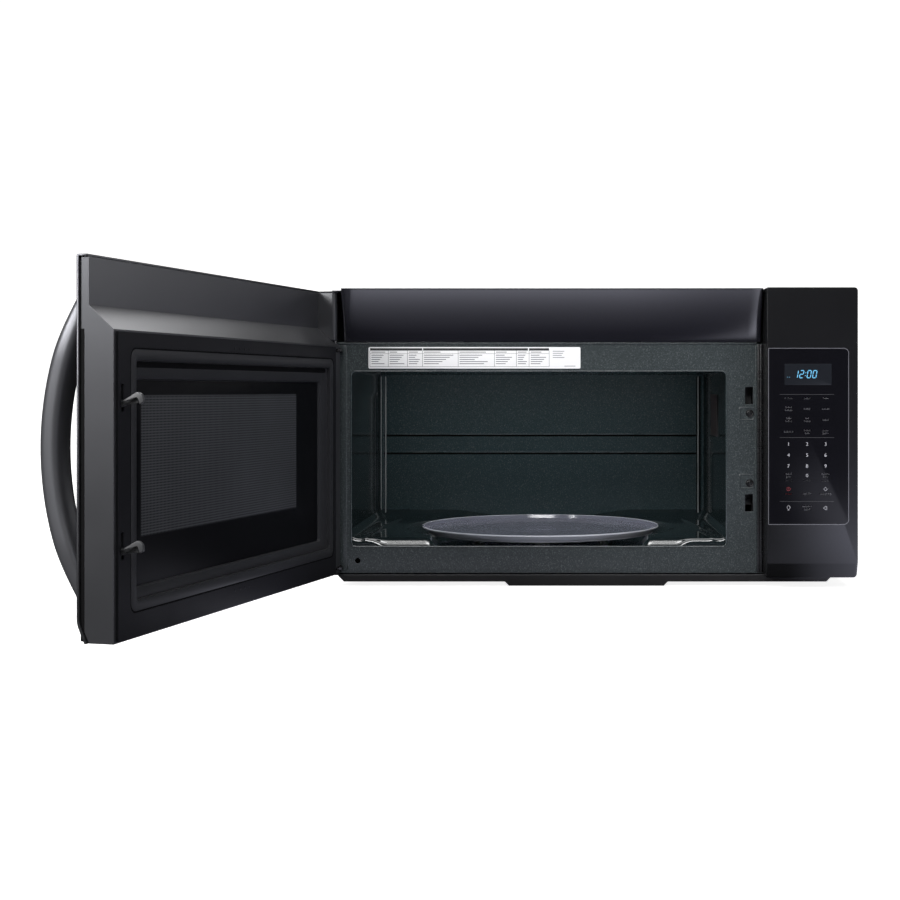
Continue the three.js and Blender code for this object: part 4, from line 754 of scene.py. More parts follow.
def film(name, colour, rough=0.45):
    """A thin dark sheet without rubbed edges: flaky layers dull it here and there."""
    f = Finish(name)
    where = f.place()
    flake = f.noise(where, 130.0, 3.0, 0.6)
    tone = f.blend(shade(colour, 0.8), shade(colour, 1.3), flake)
    return f.done(Base_Color=tone, Roughness=rough + flake * 0.15, Normal=f.bump(flake, 0.00005, 0.4))


def ink(name, colour, glow=0.0, rough=0.4):
    """Print or a lit segment: slightly uneven, and it glows where the display is lit."""
    f = Finish(name)
    where = f.place()
    drift = f.noise(where, 700.0, 2.0)
    tone = f.blend(shade(colour, 0.88), shade(colour, 1.08), drift)
    sockets = {"Base_Color": tone, "Roughness": rough + drift * 0.1}
    if glow:
        sockets.update(Emission_Color=tone, Emission_Strength=glow)
    return f.done(Normal=f.bump(drift, 0.00001, 0.2), **sockets)


def circuit(name, colour):
    """Lacquered circuit board: copper tracks show as paler lines under green lacquer."""
    f = Finish(name)
    where = f.place()
    x, _, z = f.axes(where)
    tracks = (x * 260.0).part().step(0.82, 0.9) + (z * 190.0).part().step(0.86, 0.92)
    cloud = f.noise(where, 40.0, 2.0)
    tone = f.blend(shade(colour, 0.8), shade(colour, 1.7), tracks * cloud)
    return f.done(Base_Color=tone, Roughness=0.3 + cloud * 0.15, Normal=f.bump(tracks, 0.00003, 0.4))


def laminations(name, colour):
    """Stacked transformer sheets: thin dark lines between them under brown varnish."""
    f = Finish(name)
    _, y, _ = f.axes(f.place())
    lines = (y * 900.0).part().step(0.7, 0.95)
    cloud = f.noise(f.place(), 60.0, 3.0)
    tone = f.blend(shade(colour, 1.2), shade(colour, 0.35), lines * 0.7 + cloud * 0.3)
    return f.done(Base_Color=tone, Roughness=0.35 + cloud * 0.2, Normal=f.bump(lines, 0.0002, 0.5))


# ------------------------------------------------------------------ settings
def length(name, value_mm, description):
    """A size that is given in millimetres and kept in metres."""
    return bpy.props.FloatProperty(
        name=name, description=description, default=value_mm / MM, unit="LENGTH", precision=4
    )


def colour(name, value, description):
    """A colour as three linear shares from 0 to 1."""
    return bpy.props.FloatVectorProperty(
        name=name, description=description, default=value, subtype="COLOR", size=3, min=0, max=1
    )


class CaseSettings(bpy.types.PropertyGroup):
    paint: colour("Case paint", (0.012, 0.012, 0.013), "Colour of the painted case and pan")
    metal: colour("Dark metal", (0.075, 0.076, 0.082), "Colour of the coated steel on door and panel")
    zinc: colour("Zinc", (0.46, 0.47, 0.48), "Colour of the galvanised sheets")
    vent: colour("Vent panel", (0.0075, 0.0075, 0.011), "Colour of the glossy vent panel")
    vent_cove: length("Vent cove", 27.0, "How far the vent panel curves out to its top edge")


class CavitySettings(bpy.types.PropertyGroup):
    plate: colour("Front enamel", (0.024, 0.031, 0.033), "Colour of the flecked front plate")
    inside: colour("Cavity enamel", (0.0115, 0.0200, 0.0225), "Colour of the flecked cavity walls")
    fleck: colour("Flecks", (0.11, 0.13, 0.13), "Colour of the pale flecks")
    glass: colour("Tray glass", (0.25, 0.26, 0.325), "Colour of the turntable's glass")
    corner: length("Wall corner", 10.0, "Corner radius between the cavity's walls and ceiling")
    ramp: length("Recess ramp", 26.0, "Width of the slope round the floor's recess")
    groove: length("Groove depth", 0.8, "Depth of the two lines across the back wall")


class DoorSettings(bpy.types.PropertyGroup):
    cover: colour("Inner cover", (0.0120, 0.0120, 0.0142), "Colour of the door's black inner cover")
    lip: colour("Seal ring", (0.026, 0.0265, 0.029), "Colour of the grey ring round the window")
    pane: colour("Inner pane", (0.0046, 0.0046, 0.0056), "Colour of the dark pane")
    sheet: colour("Screen", (0.070, 0.073, 0.078), "Colour of the perforated sheet behind the pane")
    glass: colour("Front glass", (0.006, 0.006, 0.008), "Colour of the door's front glass")
    lip_width: length("Ring width", 12.0, "Width of the grey ring round the window")
    hole_pitch: length("Hole pitch", 3.1, "Distance between the screen's holes")
    handle_bow: length("Handle bow", 42.0, "Handle's centre line in front of the door's skin")
    handle_width: length("Handle width", 32.0, "Handle's section across the door")
    handle_depth: length("Handle depth", 25.0, "Handle's section square to the door")


class PanelSettings(bpy.types.PropertyGroup):
    glass: colour("Touch glass", (0.0045, 0.0045, 0.006), "Colour of the touch glass")
    outline: colour("Glass outline", (0.11, 0.11, 0.12), "Colour of the glass's thin outline")
    print: colour("Key print", (0.42, 0.42, 0.44), "Colour of the printed key marks")
    stop: colour("Stop print", (0.20, 0.022, 0.028), "Colour of the stop key's mark")
    lit: colour("Lit digits", (0.10, 0.34, 0.52), "Colour of the display's digits")
    label: colour("Label", (0.86, 0.86, 0.86), "Colour of the cooking guide's film")


class StageSettings(bpy.types.PropertyGroup):
    floor: colour("Floor", (0.80, 0.80, 0.79), "Colour of the plain floor")
    floor_drop: length("Floor drop", 1.0, "Floor below the object's lowest point")
    camera_back: length("Camera distance", 2550.6, "Camera in front of the wall")
    lens: bpy.props.FloatProperty(
        name="Lens", description="Focal length in millimetres", default=59.34, min=20, max=200
    )


SETTINGS = {
    "oven_case": CaseSettings,
    "oven_cavity": CavitySettings,
    "oven_door": DoorSettings,
    "oven_panel": PanelSettings,
    "oven_stage": StageSettings,
}


# ------------------------------------------------------------------ sizes shared by the pieces
def borders(node, inset=(0.0, 0.0, 0.0, 0.0)):
    """A CAD node's sides (x0, x1, z0, z1), each moved inwards by its own inset."""
    (x0, _, z0), (x1, _, z1) = span(node)
    return x0 + inset[0], x1 - inset[1], z0 + inset[2], z1 - inset[3]


# The case, the control panel's left side and front, the front plate's front.
SHEET = 1.2
BODY_LEFT, BODY_RIGHT, BODY_BOTTOM, BODY_TOP = borders("outer_case")
PANEL_LEFT = borders("panel_housing")[0]
FRONT_Y = span("panel_housing")[0][1]
PLATE_Y = span("front_plate")[0][1]
# The cavity's inner faces, the opening in the plate, the heights of the two grooves across
# the back wall, and the spindle's place with the turns of the three rollers round it.
CAVITY = borders("cavity_wrapper", (SHEET, SHEET, 0.0, SHEET))
CAVITY_DEPTH = (span("cavity_wrapper")[0][1], span("cavity_back")[1][1] - SHEET)
FLOOR_TOP = borders("cavity_floor")[3]
OPENING = borders("cavity_wrapper", (SHEET + 4.0, SHEET + 4.0, 8.8, SHEET + 2.5))
GROOVES = (-16.1, -46.8)
SPINDLE = tuple(sum(span("glass_tray"))[:2] / 2)
ROLLER_TURNS = np.radians([90, 210, 330])
# The closed door: its sides, the plane of its inner cover, the top band's depth and lower
# edge, and the height and depth of the chin that it shares with the control panel.
DOOR = (BODY_LEFT + 1.0, PANEL_LEFT - 2.0, *borders("door_skin")[2:])
DOOR_BACK = PLATE_Y - 1.5
BAND_Y, BAND_Z = -418.0, 151.25
CHIN, CHIN_DEPTH = 21.0, 9.0
# How far vent and panel stand above the case, both hooks, the touch glass and the display.
TOP_LIP = 1.6
HOOK_X = 232.0
HOOK_Z = (53.75, -102.75)
GLASS_BOX = borders("touch_glass")
GLASS_Y = span("touch_glass")[0][1]
DISPLAY_BOX = borders("display_window", (-0.3, -0.3, -0.3, -0.3))


def area_light(name, place, aim, size, power):
    """A soft rectangular lamp that looks from its place at its aim, in metres."""
    data = bpy.data.lights.new(name, "AREA")
    data.shape = "RECTANGLE"
    data.size, data.size_y = size
    data.energy = power
    lamp = bpy.data.objects.new(name, data)
    d = np.array(place, float) - np.array(aim, float)
    d /= np.linalg.norm(d)
    lamp.location = place
    lamp.rotation_euler = (math.acos(d[2]), 0, math.atan2(d[0], -d[1]))
    lamp.visible_camera = False
    bpy.context.scene.collection.objects.link(lamp)
    return lamp


class OVEN_OT_stage(bpy.types.Operator):
    """Adds the pale floor, the soft lamps, the surrounding light and the camera."""

    bl_idname = "oven.stage"
    bl_label = "Stage"

    def execute(self, context):
        own = context.scene.oven_stage
        self.ground(context.scene, own)
        self.surroundings(context.scene)
        self.lamps()
        self.viewpoint(context.scene, own)
        return {"FINISHED"}

    def ground(self, scene, own):
        """A floor in metres that runs back level and then curves up: height is the run past
        the bend squared over twice the bend's radius."""
        side, near, bend, far, radius = 9.0, -7.0, 2.2, 5.2, 0.8
        level = CAD_BOUNDS[0].z - own.floor_drop
        x = np.linspace(-side, side, 19)
        y = np.concatenate([np.linspace(near, bend, 24), np.linspace(bend + 0.2, far, 24)])
        gx, gy = np.meshgrid(x, y, indexing="ij")
        gz = level + np.maximum(gy - bend, 0) ** 2 / (2 * radius)
        mesh = bpy.data.meshes.new("floor")
        mesh.from_pydata(np.stack([gx, gy, gz], -1).reshape(-1, 3), [], quads(*gx.shape).tolist())
        mesh.shade_smooth()
        floor = bpy.data.objects.new("floor", mesh)
        scene.collection.objects.link(floor)
        mesh.materials.append(self.floor_finish(own.floor))

    def lamps(self):
        """Soft lamps round the oven, and a small one in the cavity that no gloss mirrors."""
        area_light("lamp_above", (0.1, -1.4, 2.3), (0.0, -0.7, -0.2), (2.4, 1.4), 34)
        area_light("lamp_left", (-2.9, -3.3, 1.5), (-0.5, -0.8, 0.1), (1.3, 1.3), 140)
        area_light("lamp_right", (2.6, -2.4, 0.9), (-0.3, -0.6, 0.0), (0.9, 1.8), 15)
        area_light("lamp_front", (-0.15, -2.9, 1.5), (-0.1, 0.0, -0.1), (1.3, 0.4), 22)
        area_light("lamp_back", (-0.36, 1.5, 1.80), (-0.5, -0.7, 0.1), (1.0, 0.6), 10)
        area_light("lamp_back_low", (3.00, 1.5, 0.75), (-0.5, -0.8, 0.15), (1.2, 1.0), 11)
        area_light("lamp_rear_fill", (-2.2, 2.3, 1.1), (0.1, 0.0, 0.0), (1.2, 1.2), 22)
        place, aim = (-0.08, -0.19, 0.080), (-0.08, -0.10, -0.1)
        inner = area_light("lamp_cavity", place, aim, (0.50, 0.16), 1.35)
        inner.visible_glossy = False

    def viewpoint(self, scene, own):
        """A level camera that looks along Y; its shift moves the oven into the frame."""
        data = bpy.data.cameras.new("camera")
        data.sensor_width = 36.0
        data.lens = own.lens
        data.shift_x, data.shift_y = -0.1221, -0.0664
        camera = bpy.data.objects.new("camera", data)
        camera.location = (-0.04657, -own.camera_back, 0.06157)
        camera.rotation_euler = (math.pi / 2, 0, 0)
        scene.collection.objects.link(camera)
        scene.camera = camera

    def floor_finish(self, tint):
        """A plain matt floor with a barely visible mottle, near white to the camera. In the
        object's own reflections it is a pool of light in front. Its strength falls off with e
        to the minus distance from the edge at y -0.68, in a near, a far and a right-hand
        part, and masks in x and y bound it."""
        f = Finish("floor")
        where = f.place()
        mottle = f.noise(where, 3.0, 2.0)
        tone = f.blend(shade(tint, 0.97), shade(tint, 1.02), mottle)
        matt = f.node("ShaderNodeBsdfPrincipled", None, {"Base Color": tone, "Roughness": 0.7})
        lit = f.node("ShaderNodeEmission", None, {"Color": (1, 1, 1), "Strength": 0.86})
        x, y, _ = f.axes(where)
        away = (-0.68 - y).math("MAXIMUM", 0.0)
        near = (away * -15.0).math("EXPONENT") * 0.95
        far = (away * -3.2).math("EXPONENT") * 0.50
        right = (away * -1.0).math("EXPONENT") * 7.4 * x.step(0.30, 0.50)
        beside = x.step(0.28, 0.34) * (1.0 - x.step(0.60, 0.80))
        below = y.step(-0.64, -0.46) * (1.0 - beside * (1.0 - y.step(-0.42, -0.36)))
        pool = (near + far + right) * (1.0 - below) * (1.0 - x.step(0.05, 0.28) * 0.45)
        pool = pool * x.step(-0.62, -0.38) * (1.0 - x.step(1.6, 3.2))
        tinted = {"Color": (0.84, 0.85, 1.0), "Strength": pool * 0.80 + 0.02}
        glow = f.node("ShaderNodeEmission", None, tinted)
        seen = f.node("ShaderNodeLightPath").outputs["Is Camera Ray"]
        added = f.node("ShaderNodeAddShader", None, {0: matt.outputs[0], 1: lit.outputs[0]})
        mixed = f.node("ShaderNodeMixShader", None, {0: seen, 1: glow.outputs[0], 2: added.outputs[0]})
        f.node("ShaderNodeOutputMaterial", None, {"Surface": mixed.outputs[0]})
        return f.holder

    def surroundings(self, scene):
        """White where the camera looks; otherwise grey, lighter at the back and above."""
        f = Finish("studio", kind="worlds")
        direction = f.node("ShaderNodeTexCoord").outputs["Generated"]
        _, y, z = f.axes(direction)
        glow = 0.02 + y.step(-0.2, 0.9) * 0.07 + z.step(0.1, 0.9) * 0.06
        seen = f.node("ShaderNodeLightPath").outputs["Is Camera Ray"]
        soft = f.node("ShaderNodeBackground", None, {"Color": (1, 1, 1), "Strength": glow})
        white = f.node("ShaderNodeBackground", None, {"Color": (1, 1, 1), "Strength": 1.0})
        mixed = f.node("ShaderNodeMixShader", None, {0: seen, 1: soft.outputs[0], 2: white.outputs[0]})
        f.node("ShaderNodeOutputWorld", None, {"Surface": mixed.outputs[0]})
        scene.world = f.holder
        scene.view_settings.view_transform = "Standard"


class OVEN_OT_case(bpy.types.Operator):
    """Finishes the case, wall plate, rear panel, pan and cord gland."""

    bl_idname = "oven.case"
    bl_label = "Case"

    def execute(self, context):
        own = context.scene.oven_case
        paint = orange_peel("case_paint", own.paint, 0.42)
        dress(paint, "outer_case", "base_pan")
        zinc = zinc_sheet("galvanised_sheet", own.zinc)
        dress(zinc, "wall_plate", "rear_panel", "exhaust_adaptor", "damper_flap")
        dress(orange_peel("base_paint", shade(own.paint, 3.0), 0.4), "base_plate")
        dress(moulded("gland_rubber", (0.012, 0.012, 0.012), 0.6), "cord_bush")
        return {"FINISHED"}


class OVEN_OT_air_path(bpy.types.Operator):
    """Finishes the blower, its wheels and casing, and the charcoal filter."""

    bl_idname = "oven.air_path"
    bl_label = "Air path"

    def execute(self, context):
        zinc = zinc_sheet("casing_sheet", context.scene.oven_case.zinc, 0.42, 120.0)
        dress(zinc, "blower_housing", "blower_wheel_left", "blower_wheel_right")
        dress(plated("motor_plating"), "blower_motor")
        dress(moulded("charcoal_granules", (0.02, 0.02, 0.02), 0.8, grain=380.0), "charcoal_filter")
        return {"FINISHED"}


class OVEN_OT_machine_bay(bpy.types.Operator):
    """Finishes what stands in the bay behind the control panel and round the cavity."""

    bl_idname = "oven.machine_bay"
    bl_label = "Machine bay"

    def execute(self, context):
        zinc = zinc_sheet("waveguide_sheet", context.scene.oven_case.zinc, 0.4, 150.0)
        dress(zinc, "waveguide")
        dress(plated("housing_plating"), "magnetron", "cooling_fan_motor", "turntable_motor")
        dress(laminations("core_varnish", (0.16, 0.07, 0.035)), "transformer")
        dress(plated("can_aluminium", (0.68, 0.69, 0.70), 0.32), "capacitor")
        dress(moulded("fan_plastic", (0.02, 0.02, 0.022)), "cooling_fan_blade")
        dress(circuit("board_lacquer", (0.03, 0.12, 0.05)), "control_board")
        dress(moulded("lamp_socket", (0.62, 0.62, 0.58), 0.4), "cavity_lamp", "cooktop_lamp")
        dress(film("mica_sheet", (0.0060, 0.0048, 0.0050), 0.6), "waveguide_cover")
        dress(
            moulded("switch_plastic", (0.015, 0.015, 0.016)),
            "door_switch_upper",
            "door_switch_middle",
            "door_switch_lower",
        )
        black = moulded("latch_plastic", (0.030, 0.030, 0.032), 0.4)
        dress(black, "latch_body", "interlock_lever")
        return {"FINISHED"}


class OVEN_OT_vent(bpy.types.Operator):
    """Builds the glossy vent panel: a cove that curves out to its top edge, with slots in
    the shelf above it."""

    bl_idname = "oven.vent"
    bl_label = "Vent panel"

    def execute(self, context):
        own = context.scene.oven_case
        low, high = span("vent_grille")
        x0, x1, z0, z1 = low[0], high[0], low[2], high[2]
        back = high[1]
        reach = own.vent_cove * MM
        shells = [self.face(x0, x1, z0, z1 + TOP_LIP, back, reach)]
        shells.append(self.shelf(x0, x1, z1, low[1] + 4.0, back))
        finish = glossy("vent_gloss", own.vent, 0.12, coat=1.0, level=1.0, drift=0.1)
        piece("vent_panel", shells, "body", finish, ["vent_grille"], crease=40)
        return {"FINISHED"}

    def face(self, x0, x1, z0, z1, back, reach):
        """Depth at height share s is the back minus 2.6 minus reach times s to the power
        1.7, rolled over at the top. In plan the ends turn back round a quarter circle."""
        over, end_radius, flat, columns = 2.2, 3.5, 20.0, 40
        far_back = 99.0
        s = np.concatenate([np.linspace(0, 0.96, 40), np.linspace(0.965, 1.0, 8)])
        z = z0 + (z1 - z0) * s
        roll = np.sqrt(np.maximum(0, 1 - np.maximum(0, (z - (z1 - over)) / over) ** 2))
        front = back - 2.6 - reach * s**1.7 + over * (1 - roll)
        a = np.linspace(0, math.pi / 2, 7)
        inward = end_radius * (1 - np.cos(a))
        turned = end_radius * (1 - np.sin(a))
        width = x1 - x0
        plan_x = [[0], inward, np.linspace(flat, width - flat, columns), width - inward[::-1], [width]]
        plan_x = np.concatenate(plan_x)
        plan_y = [[far_back], turned, np.zeros(columns), turned[::-1], [far_back]]
        plan_y = np.concatenate(plan_y)

        def sheet(inset):
            gx = np.clip(x0 + plan_x, x0 + inset, x1 - inset)[:, None] + np.zeros_like(z)
            gy = np.minimum(front[None] + plan_y[:, None] + inset, back + 0 * front[None])
            return np.stack([gx, gy, np.broadcast_to(z, gx.shape)], -1)

        return slab(sheet(0.0), sheet(2.0))

    def shelf(self, x0, x1, z1, y0, y1):
        """Two rows of slots at one pitch, left out of a grid of cells."""
        pitch, slot, deep, rib, inset = 20.0, 14.0, 4.0, 2.0, 2.5
        count = int((x1 - x0 - 30) // pitch)
        start = (x0 + x1) / 2 - count * pitch / 2
        edges = start + np.arange(count)[:, None] * pitch + (pitch - slot) / 2 + [0.0, slot]
        us = np.concatenate([[x0 + inset], edges.ravel(), [x1 - inset]])
        vs = np.cumsum([y0, 3.0, deep, rib, deep])
        vs = np.append(vs, y1)
        keep = np.ones((len(us) - 1, len(vs) - 1), bool)
        keep[1::2, 1::2] = False
        keep[-1] = True
        return cells(us, vs, keep, z1 - 2.4, z1 - 0.2)


class OVEN_OT_front_plate(bpy.types.Operator):
    """Finishes the flecked front plate and adds its rolled lip, folds and embossed pads."""

    bl_idname = "oven.front_plate"
    bl_label = "Front plate"

    def execute(self, context):
        own = context.scene.oven_cavity
        finish = enamel("plate_enamel", own.plate, own.fleck, 0.34, 0.25)
        dress(finish, "front_plate")
        # The lip gets the plate's enamel at 1.5 times its colour and flecks, with a full coat: a lit
        # copy, a painted highlight along the opening's edge.
        bright = enamel("lip_enamel_painted_highlight", shade(own.plate, 1.5), shade(own.fleck, 1.5), 0.12, 1.0, 0.5)
        piece("opening_lip", [self.lip()], "body", bright, crease=50)
        y = PLATE_Y
        # The pads round both screws, then the folds at the hinge, top and latch sides.
        shells = [self.pad(215.0, 238.0, z0, z1) for z0, z1 in ((17.4, 37.2), (-82.4, -60.6))]
        shells.append(cushion(-366.0, -356.5, -203.0, 128.0, y + 0.5, y - 0.45, 3.0, 2.2, 6))
        shells.append(cushion(-377.6, 241.0, 128.2, 131.8, y + 6.0, y - 1.6, 1.2, 1.6, 7))
        shells.append(cushion(238.6, 241.0, -204.0, 127.0, y + 0.5, y - 0.8, 0.8, 0.75, 5))
        self.channel()
        piece("plate_folds", shells, "body", finish)
        return {"FINISHED"}

    def channel(self):
        """The dark folded strip between plate and control panel, with two upright ribs."""
        y = PLATE_Y
        dark = glossy("channel_paint", (0.008, 0.008, 0.009), 0.22, coat=0.3, level=0.6)
        strip = [cushion(241.6, 249.1, -204.5, 128.5, y + 0.5, y - 0.35, 0.4, 0.3)]
        for left, right, proud in ((243.0, 244.6, 1.1), (246.2, 248.4, 1.2)):
            strip.append(cushion(left, right, -204.0, 128.0, y + 0.5, y - proud, 0.5, 0.7, 6))
        piece("plate_side_channel", strip, "body", dark)

    def lip(self):
        """The opening's edge rolls out by 0.95 mm and then flares back to the cavity walls.
        It reaches at most 1.2 mm past the opening below and 1.4 mm above."""
        x0, x1, z0, z1 = OPENING
        steps = [(-1.9, 0.3), (-1.7, -0.4), (-1.2, -0.8), (-0.6, -0.95), (-0.1, -0.7), (0.3, 0.0)]
        steps += [(0.4, 1.0), (0.0, 2.4), (-2.6, 5.0), (-4.2, 5.0), (-4.6, 0.8)]
        levels = [
            (x0 + i, x1 - i, z0 + i, z1 - min(i, 0) - i * (i > 0), 6.0 - i, PLATE_Y + y)
            for i, y in steps
        ]
        levels = [(a, b, max(c, z0 - 1.2), min(d, z1 + 1.4), r, y) for a, b, c, d, r, y in levels]
        return tube(terrace(levels), closed=True)

    def pad(self, x0, x1, z0, z1):
        """A pressed square: a low ridge round a flat field."""
        y = PLATE_Y
        steps = [(0.0, 0.4), (0.0, -0.1), (0.5, -0.55), (1.2, -0.6), (1.9, -0.2), (2.4, -0.12)]
        steps += [(2.4, 0.4)]
        return tube(
            terrace([(x0 + i, x1 - i, z0 + i, z1 - i, 2.2, y + d) for i, d in steps]), closed=True
        )


class OVEN_OT_cavity(bpy.types.Operator):
    """Builds the cavity's walls and ceiling, its back wall and its pressed floor."""

    bl_idname = "oven.cavity"
    bl_label = "Cavity"

    def execute(self, context):
        own = context.scene.oven_cavity
        self.radius = own.corner * MM
        self.ramp = own.ramp * MM
        self.groove = own.groove * MM
        # Colour and fleck factors, roughness, coat, fleck strength and specular level. The colour
        # factors make shaded copies of the one cavity enamel for walls and floor and a lit copy for the
        # back wall: painted shade and painted light.
        kinds = {
            "cavity_enamel_painted_shade": (0.30, 0.2, 0.16, 0.3, 0.9, 0.25),
            "floor_enamel_painted_shade": (0.62, 0.3, 0.12, 0.8, 0.6, 0.5),
            "rear_enamel_painted_light": (1.35, 0.6, 0.2, 0.3, 0.7, 0.5),
        }
        sides, base, rear = (
            enamel(name, shade(own.inside, tone), shade(own.fleck, fleck), *rest)
            for name, (tone, fleck, *rest) in kinds.items()
        )
        piece("cavity_walls", [self.walls()], "body", sides, ["cavity_wrapper"])
        piece("cavity_back_wall", [self.back()], "body", rear, ["cavity_back"])
        self.lines()
        piece("cavity_pressed_floor", [self.floor()], "body", base, ["cavity_floor"])
        return {"FINISHED"}

    def walls(self):
        """A path up the left wall, over the ceiling and down the right wall, carried along Y.
        The left wall sinks by 2.6 mm inside a soft-edged field, the right one bulges in the
        middle of its depth, and both swell in two beads at the back."""
        x0, x1, z0, z1 = CAVITY
        r = self.radius
        a = np.linspace(0, math.pi / 2, 9)
        up = np.linspace(z0, z1 - r, 50)[:-1]
        over = np.linspace(x0 + r, x1 - r, 60)[1:-1]
        left_arc = np.stack([x0 + r - r * np.cos(a), z1 - r + r * np.sin(a)], -1)
        right_arc = np.stack([x1 - r + r * np.sin(a), z1 - r + r * np.cos(a)], -1)
        path = np.concatenate(
            [
                np.stack([np.full_like(up, x0), up], -1),
                left_arc,
                np.stack([over, np.full_like(over, z1)], -1),
                right_arc,
                np.stack([np.full_like(up, x1), up[::-1]], -1),
            ]
        )
        along = np.gradient(path, axis=0)
        normal = np.stack([-along[:, 1], along[:, 0]], -1)
        normal /= np.linalg.norm(normal, axis=1, keepdims=True)
        y0, y1 = CAVITY_DEPTH
        ys = np.concatenate([np.linspace(y0, -42, 60), np.linspace(-41, y1 + 0.6, 60)])
        side = smooth(0.6, 0.95, np.abs(normal[:, 0]))[:, None]
        left = (path[:, 0] < 0)[:, None]
        height = path[:, 1][:, None]
        field = smooth(-352, -340, ys)[None] * (1 - smooth(-52, -40, ys))[None]
        field = field * smooth(-150, -138, height) * (1 - smooth(46, 60, height))
        bead = hump(ys, -29.0, 1.9)[None] * 2.0 + hump(ys, -18.0, 1.7)[None] * 1.1
        bulge = hump(ys, -155.0, 8.0)[None] * smooth(-140, -118, height) * (1 - smooth(-58, -36, height))
        lift = side * (2.6 * field * left - bead - 2.2 * bulge * (1 - left))

        def surface(out):
            shift = normal[:, None, :] * out[..., None]
            x = path[:, None, 0] + shift[..., 0]
            z = path[:, None, 1] + shift[..., 1]
            return np.stack([x, np.broadcast_to(ys, x.shape), z], -1)

        return slab(surface(lift), surface(np.full_like(lift, 3.8)))

    def lines(self):
        """Near-black strips in the bottoms of the two grooves and of two upright ones at the right, a
        painted shadow, and the beads where the walls meet the back in a far lighter enamel, a painted
        highlight."""
        x0, x1, z0, z1 = CAVITY
        y = CAVITY_DEPTH[1]
        foot, head = z0 + 24, z1 - 6
        # Near-black strips in the grooves: a painted shadow.
        dark = moulded("groove_shadow", (0.0015, 0.0020, 0.0020), 0.8, level=0.02)
        strips = []
        for z in GROOVES:
            strips.append(cushion(x0 + 5, x1 - 10, z - 1.6, z + 1.6, y + 0.5, y - 0.3, 1.4, 0.2))
        for x in (x1 - 12.7, x1 - 7.4):
            strips.append(cushion(x, x + 1.5, foot, head, y + 0.5, y - 2.6, 0.6, 0.3))
        piece("cavity_groove_bottoms", strips, "body", dark)
        # The beads' enamel is many times lighter than the cavity's: a painted highlight.
        bright = enamel("bead_enamel_painted_highlight", (0.16, 0.175, 0.18), (0.40, 0.42, 0.42), 0.14, 1.0, 0.4)
        beads = []
        for x, half in ((x0 + 1.8, 0.8), (x0 + 9.3, 1.2), (x1 - 9.6, 1.2)):
            sides = (x - half, x + half, foot, head)
            beads.append(cushion(*sides, y + 0.5, y - 2.4, half * 0.9, half * 0.8))
        piece("cavity_wall_beads", beads, "body", bright)

    def back(self):
        """A wall with two grooves across, each a narrow bell with a lighter bead above it,
        and upright ribs near both sides. Its rim curves forward to the walls."""
        x0, x1, z0, z1 = CAVITY
        near = np.linspace(-4, 5, 50)
        zs = np.unique(np.concatenate([np.linspace(z0, z1, 70)] + [line + near for line in GROOVES]))
        fine = np.linspace(-5, 5, 21)
        ribs = (x0 + 4.4, x1 - 11.3, x1 - 3.7)
        xs = np.concatenate([np.linspace(x0, x1, 90)] + [rib + fine for rib in ribs])
        xs = np.unique(np.clip(xs, x0, x1))
        x, z = np.meshgrid(xs, zs, indexing="ij")
        reach = smooth(x0 + 4, x0 + 9, x) * (1 - smooth(x1 - 13, x1 - 9, x))
        relief = np.zeros_like(x)
        for line in GROOVES:
            relief += reach * (self.groove * hump(z, line, 0.9) - 0.25 * hump(z, line + 3.0, 0.8))
        for rib, high in zip(ribs, (1.7, 1.0, 1.8)):
            relief -= high * hump(x, rib, 1.1)
        edge = np.minimum(np.minimum(x - x0, x1 - x), z1 - z)
        curl = 5.0
        relief -= curl - np.sqrt(curl**2 - np.clip(curl - edge, 0, curl) ** 2)
        front = np.stack([x, CAVITY_DEPTH[1] + relief, z], -1)
        back = np.stack([x, np.full_like(x, CAVITY_DEPTH[1] + 2.2), z], -1)
        return slab(front, back)

    def floor(self):
        """Raised corners round a disc-shaped recess whose mouth runs to the front. Height is
        the recess level plus a smooth ramp of the distance outside disc and mouth; the front
        edge rolls down, as a straight slope between the corners, a fillet meets each wall and
        two low beads with a bell-shaped section run back along each side."""
        recess, mouth_half, roll, drop, fillet = 186.25, 140.0, 5.0, 12.0, 13.0
        x0, x1, z0, _ = CAVITY
        y0, y1 = CAVITY_DEPTH
        xs = np.linspace(x0, x1, 230)
        ys = np.concatenate([np.linspace(y0, y0 + 22, 64), np.linspace(y0 + 24, y1, 120)])
        x, y = np.meshgrid(xs, ys, indexing="ij")
        disc = np.hypot(x - SPINDLE[0], y - SPINDLE[1]) - recess
        mouth = np.maximum(np.abs(x - SPINDLE[0]) - mouth_half, y - SPINDLE[1])
        outside = np.minimum(disc, mouth)
        level = smooth(0, self.ramp, outside)
        z = z0 + (FLOOR_TOP - z0) * level
        fall = 1 - np.sqrt(np.maximum(0, 1 - (np.clip(y0 + roll - y, 0, roll) / roll) ** 2))
        slope = np.clip((y0 + 4.0 - y) / 1.6, 0, 1) * 0.42 + 0.30 * smooth(y0 + 14, y0 + 4.0, y)
        slope += smooth(y0 + 2.4, y0, y) * 0.28
        flat = smooth(x0 + 28, x0 + 56, x) * (1 - smooth(x1 - 78, x1 - 52, x))
        z -= level * drop * (fall * (1 - flat) + slope * flat)
        for gap in (x - x0, x1 - x, y1 - y):
            near = np.clip(fillet - gap, 0, fillet)
            z += smooth(0, 60, outside) * (fillet - np.sqrt(fillet**2 - near**2)) * 0.9
        depth = y - y0
        for run in (x - x0, x1 - x):
            z += 1.6 * hump(run, 10 + depth * 0.10, 2.2) * smooth(0, 30, depth) * level
            z += 1.1 * hump(run, 24 + depth * 0.04, 2.4) * level
        return slab(np.stack([x, y, z], -1), np.stack([x, y, z - SHEET], -1))


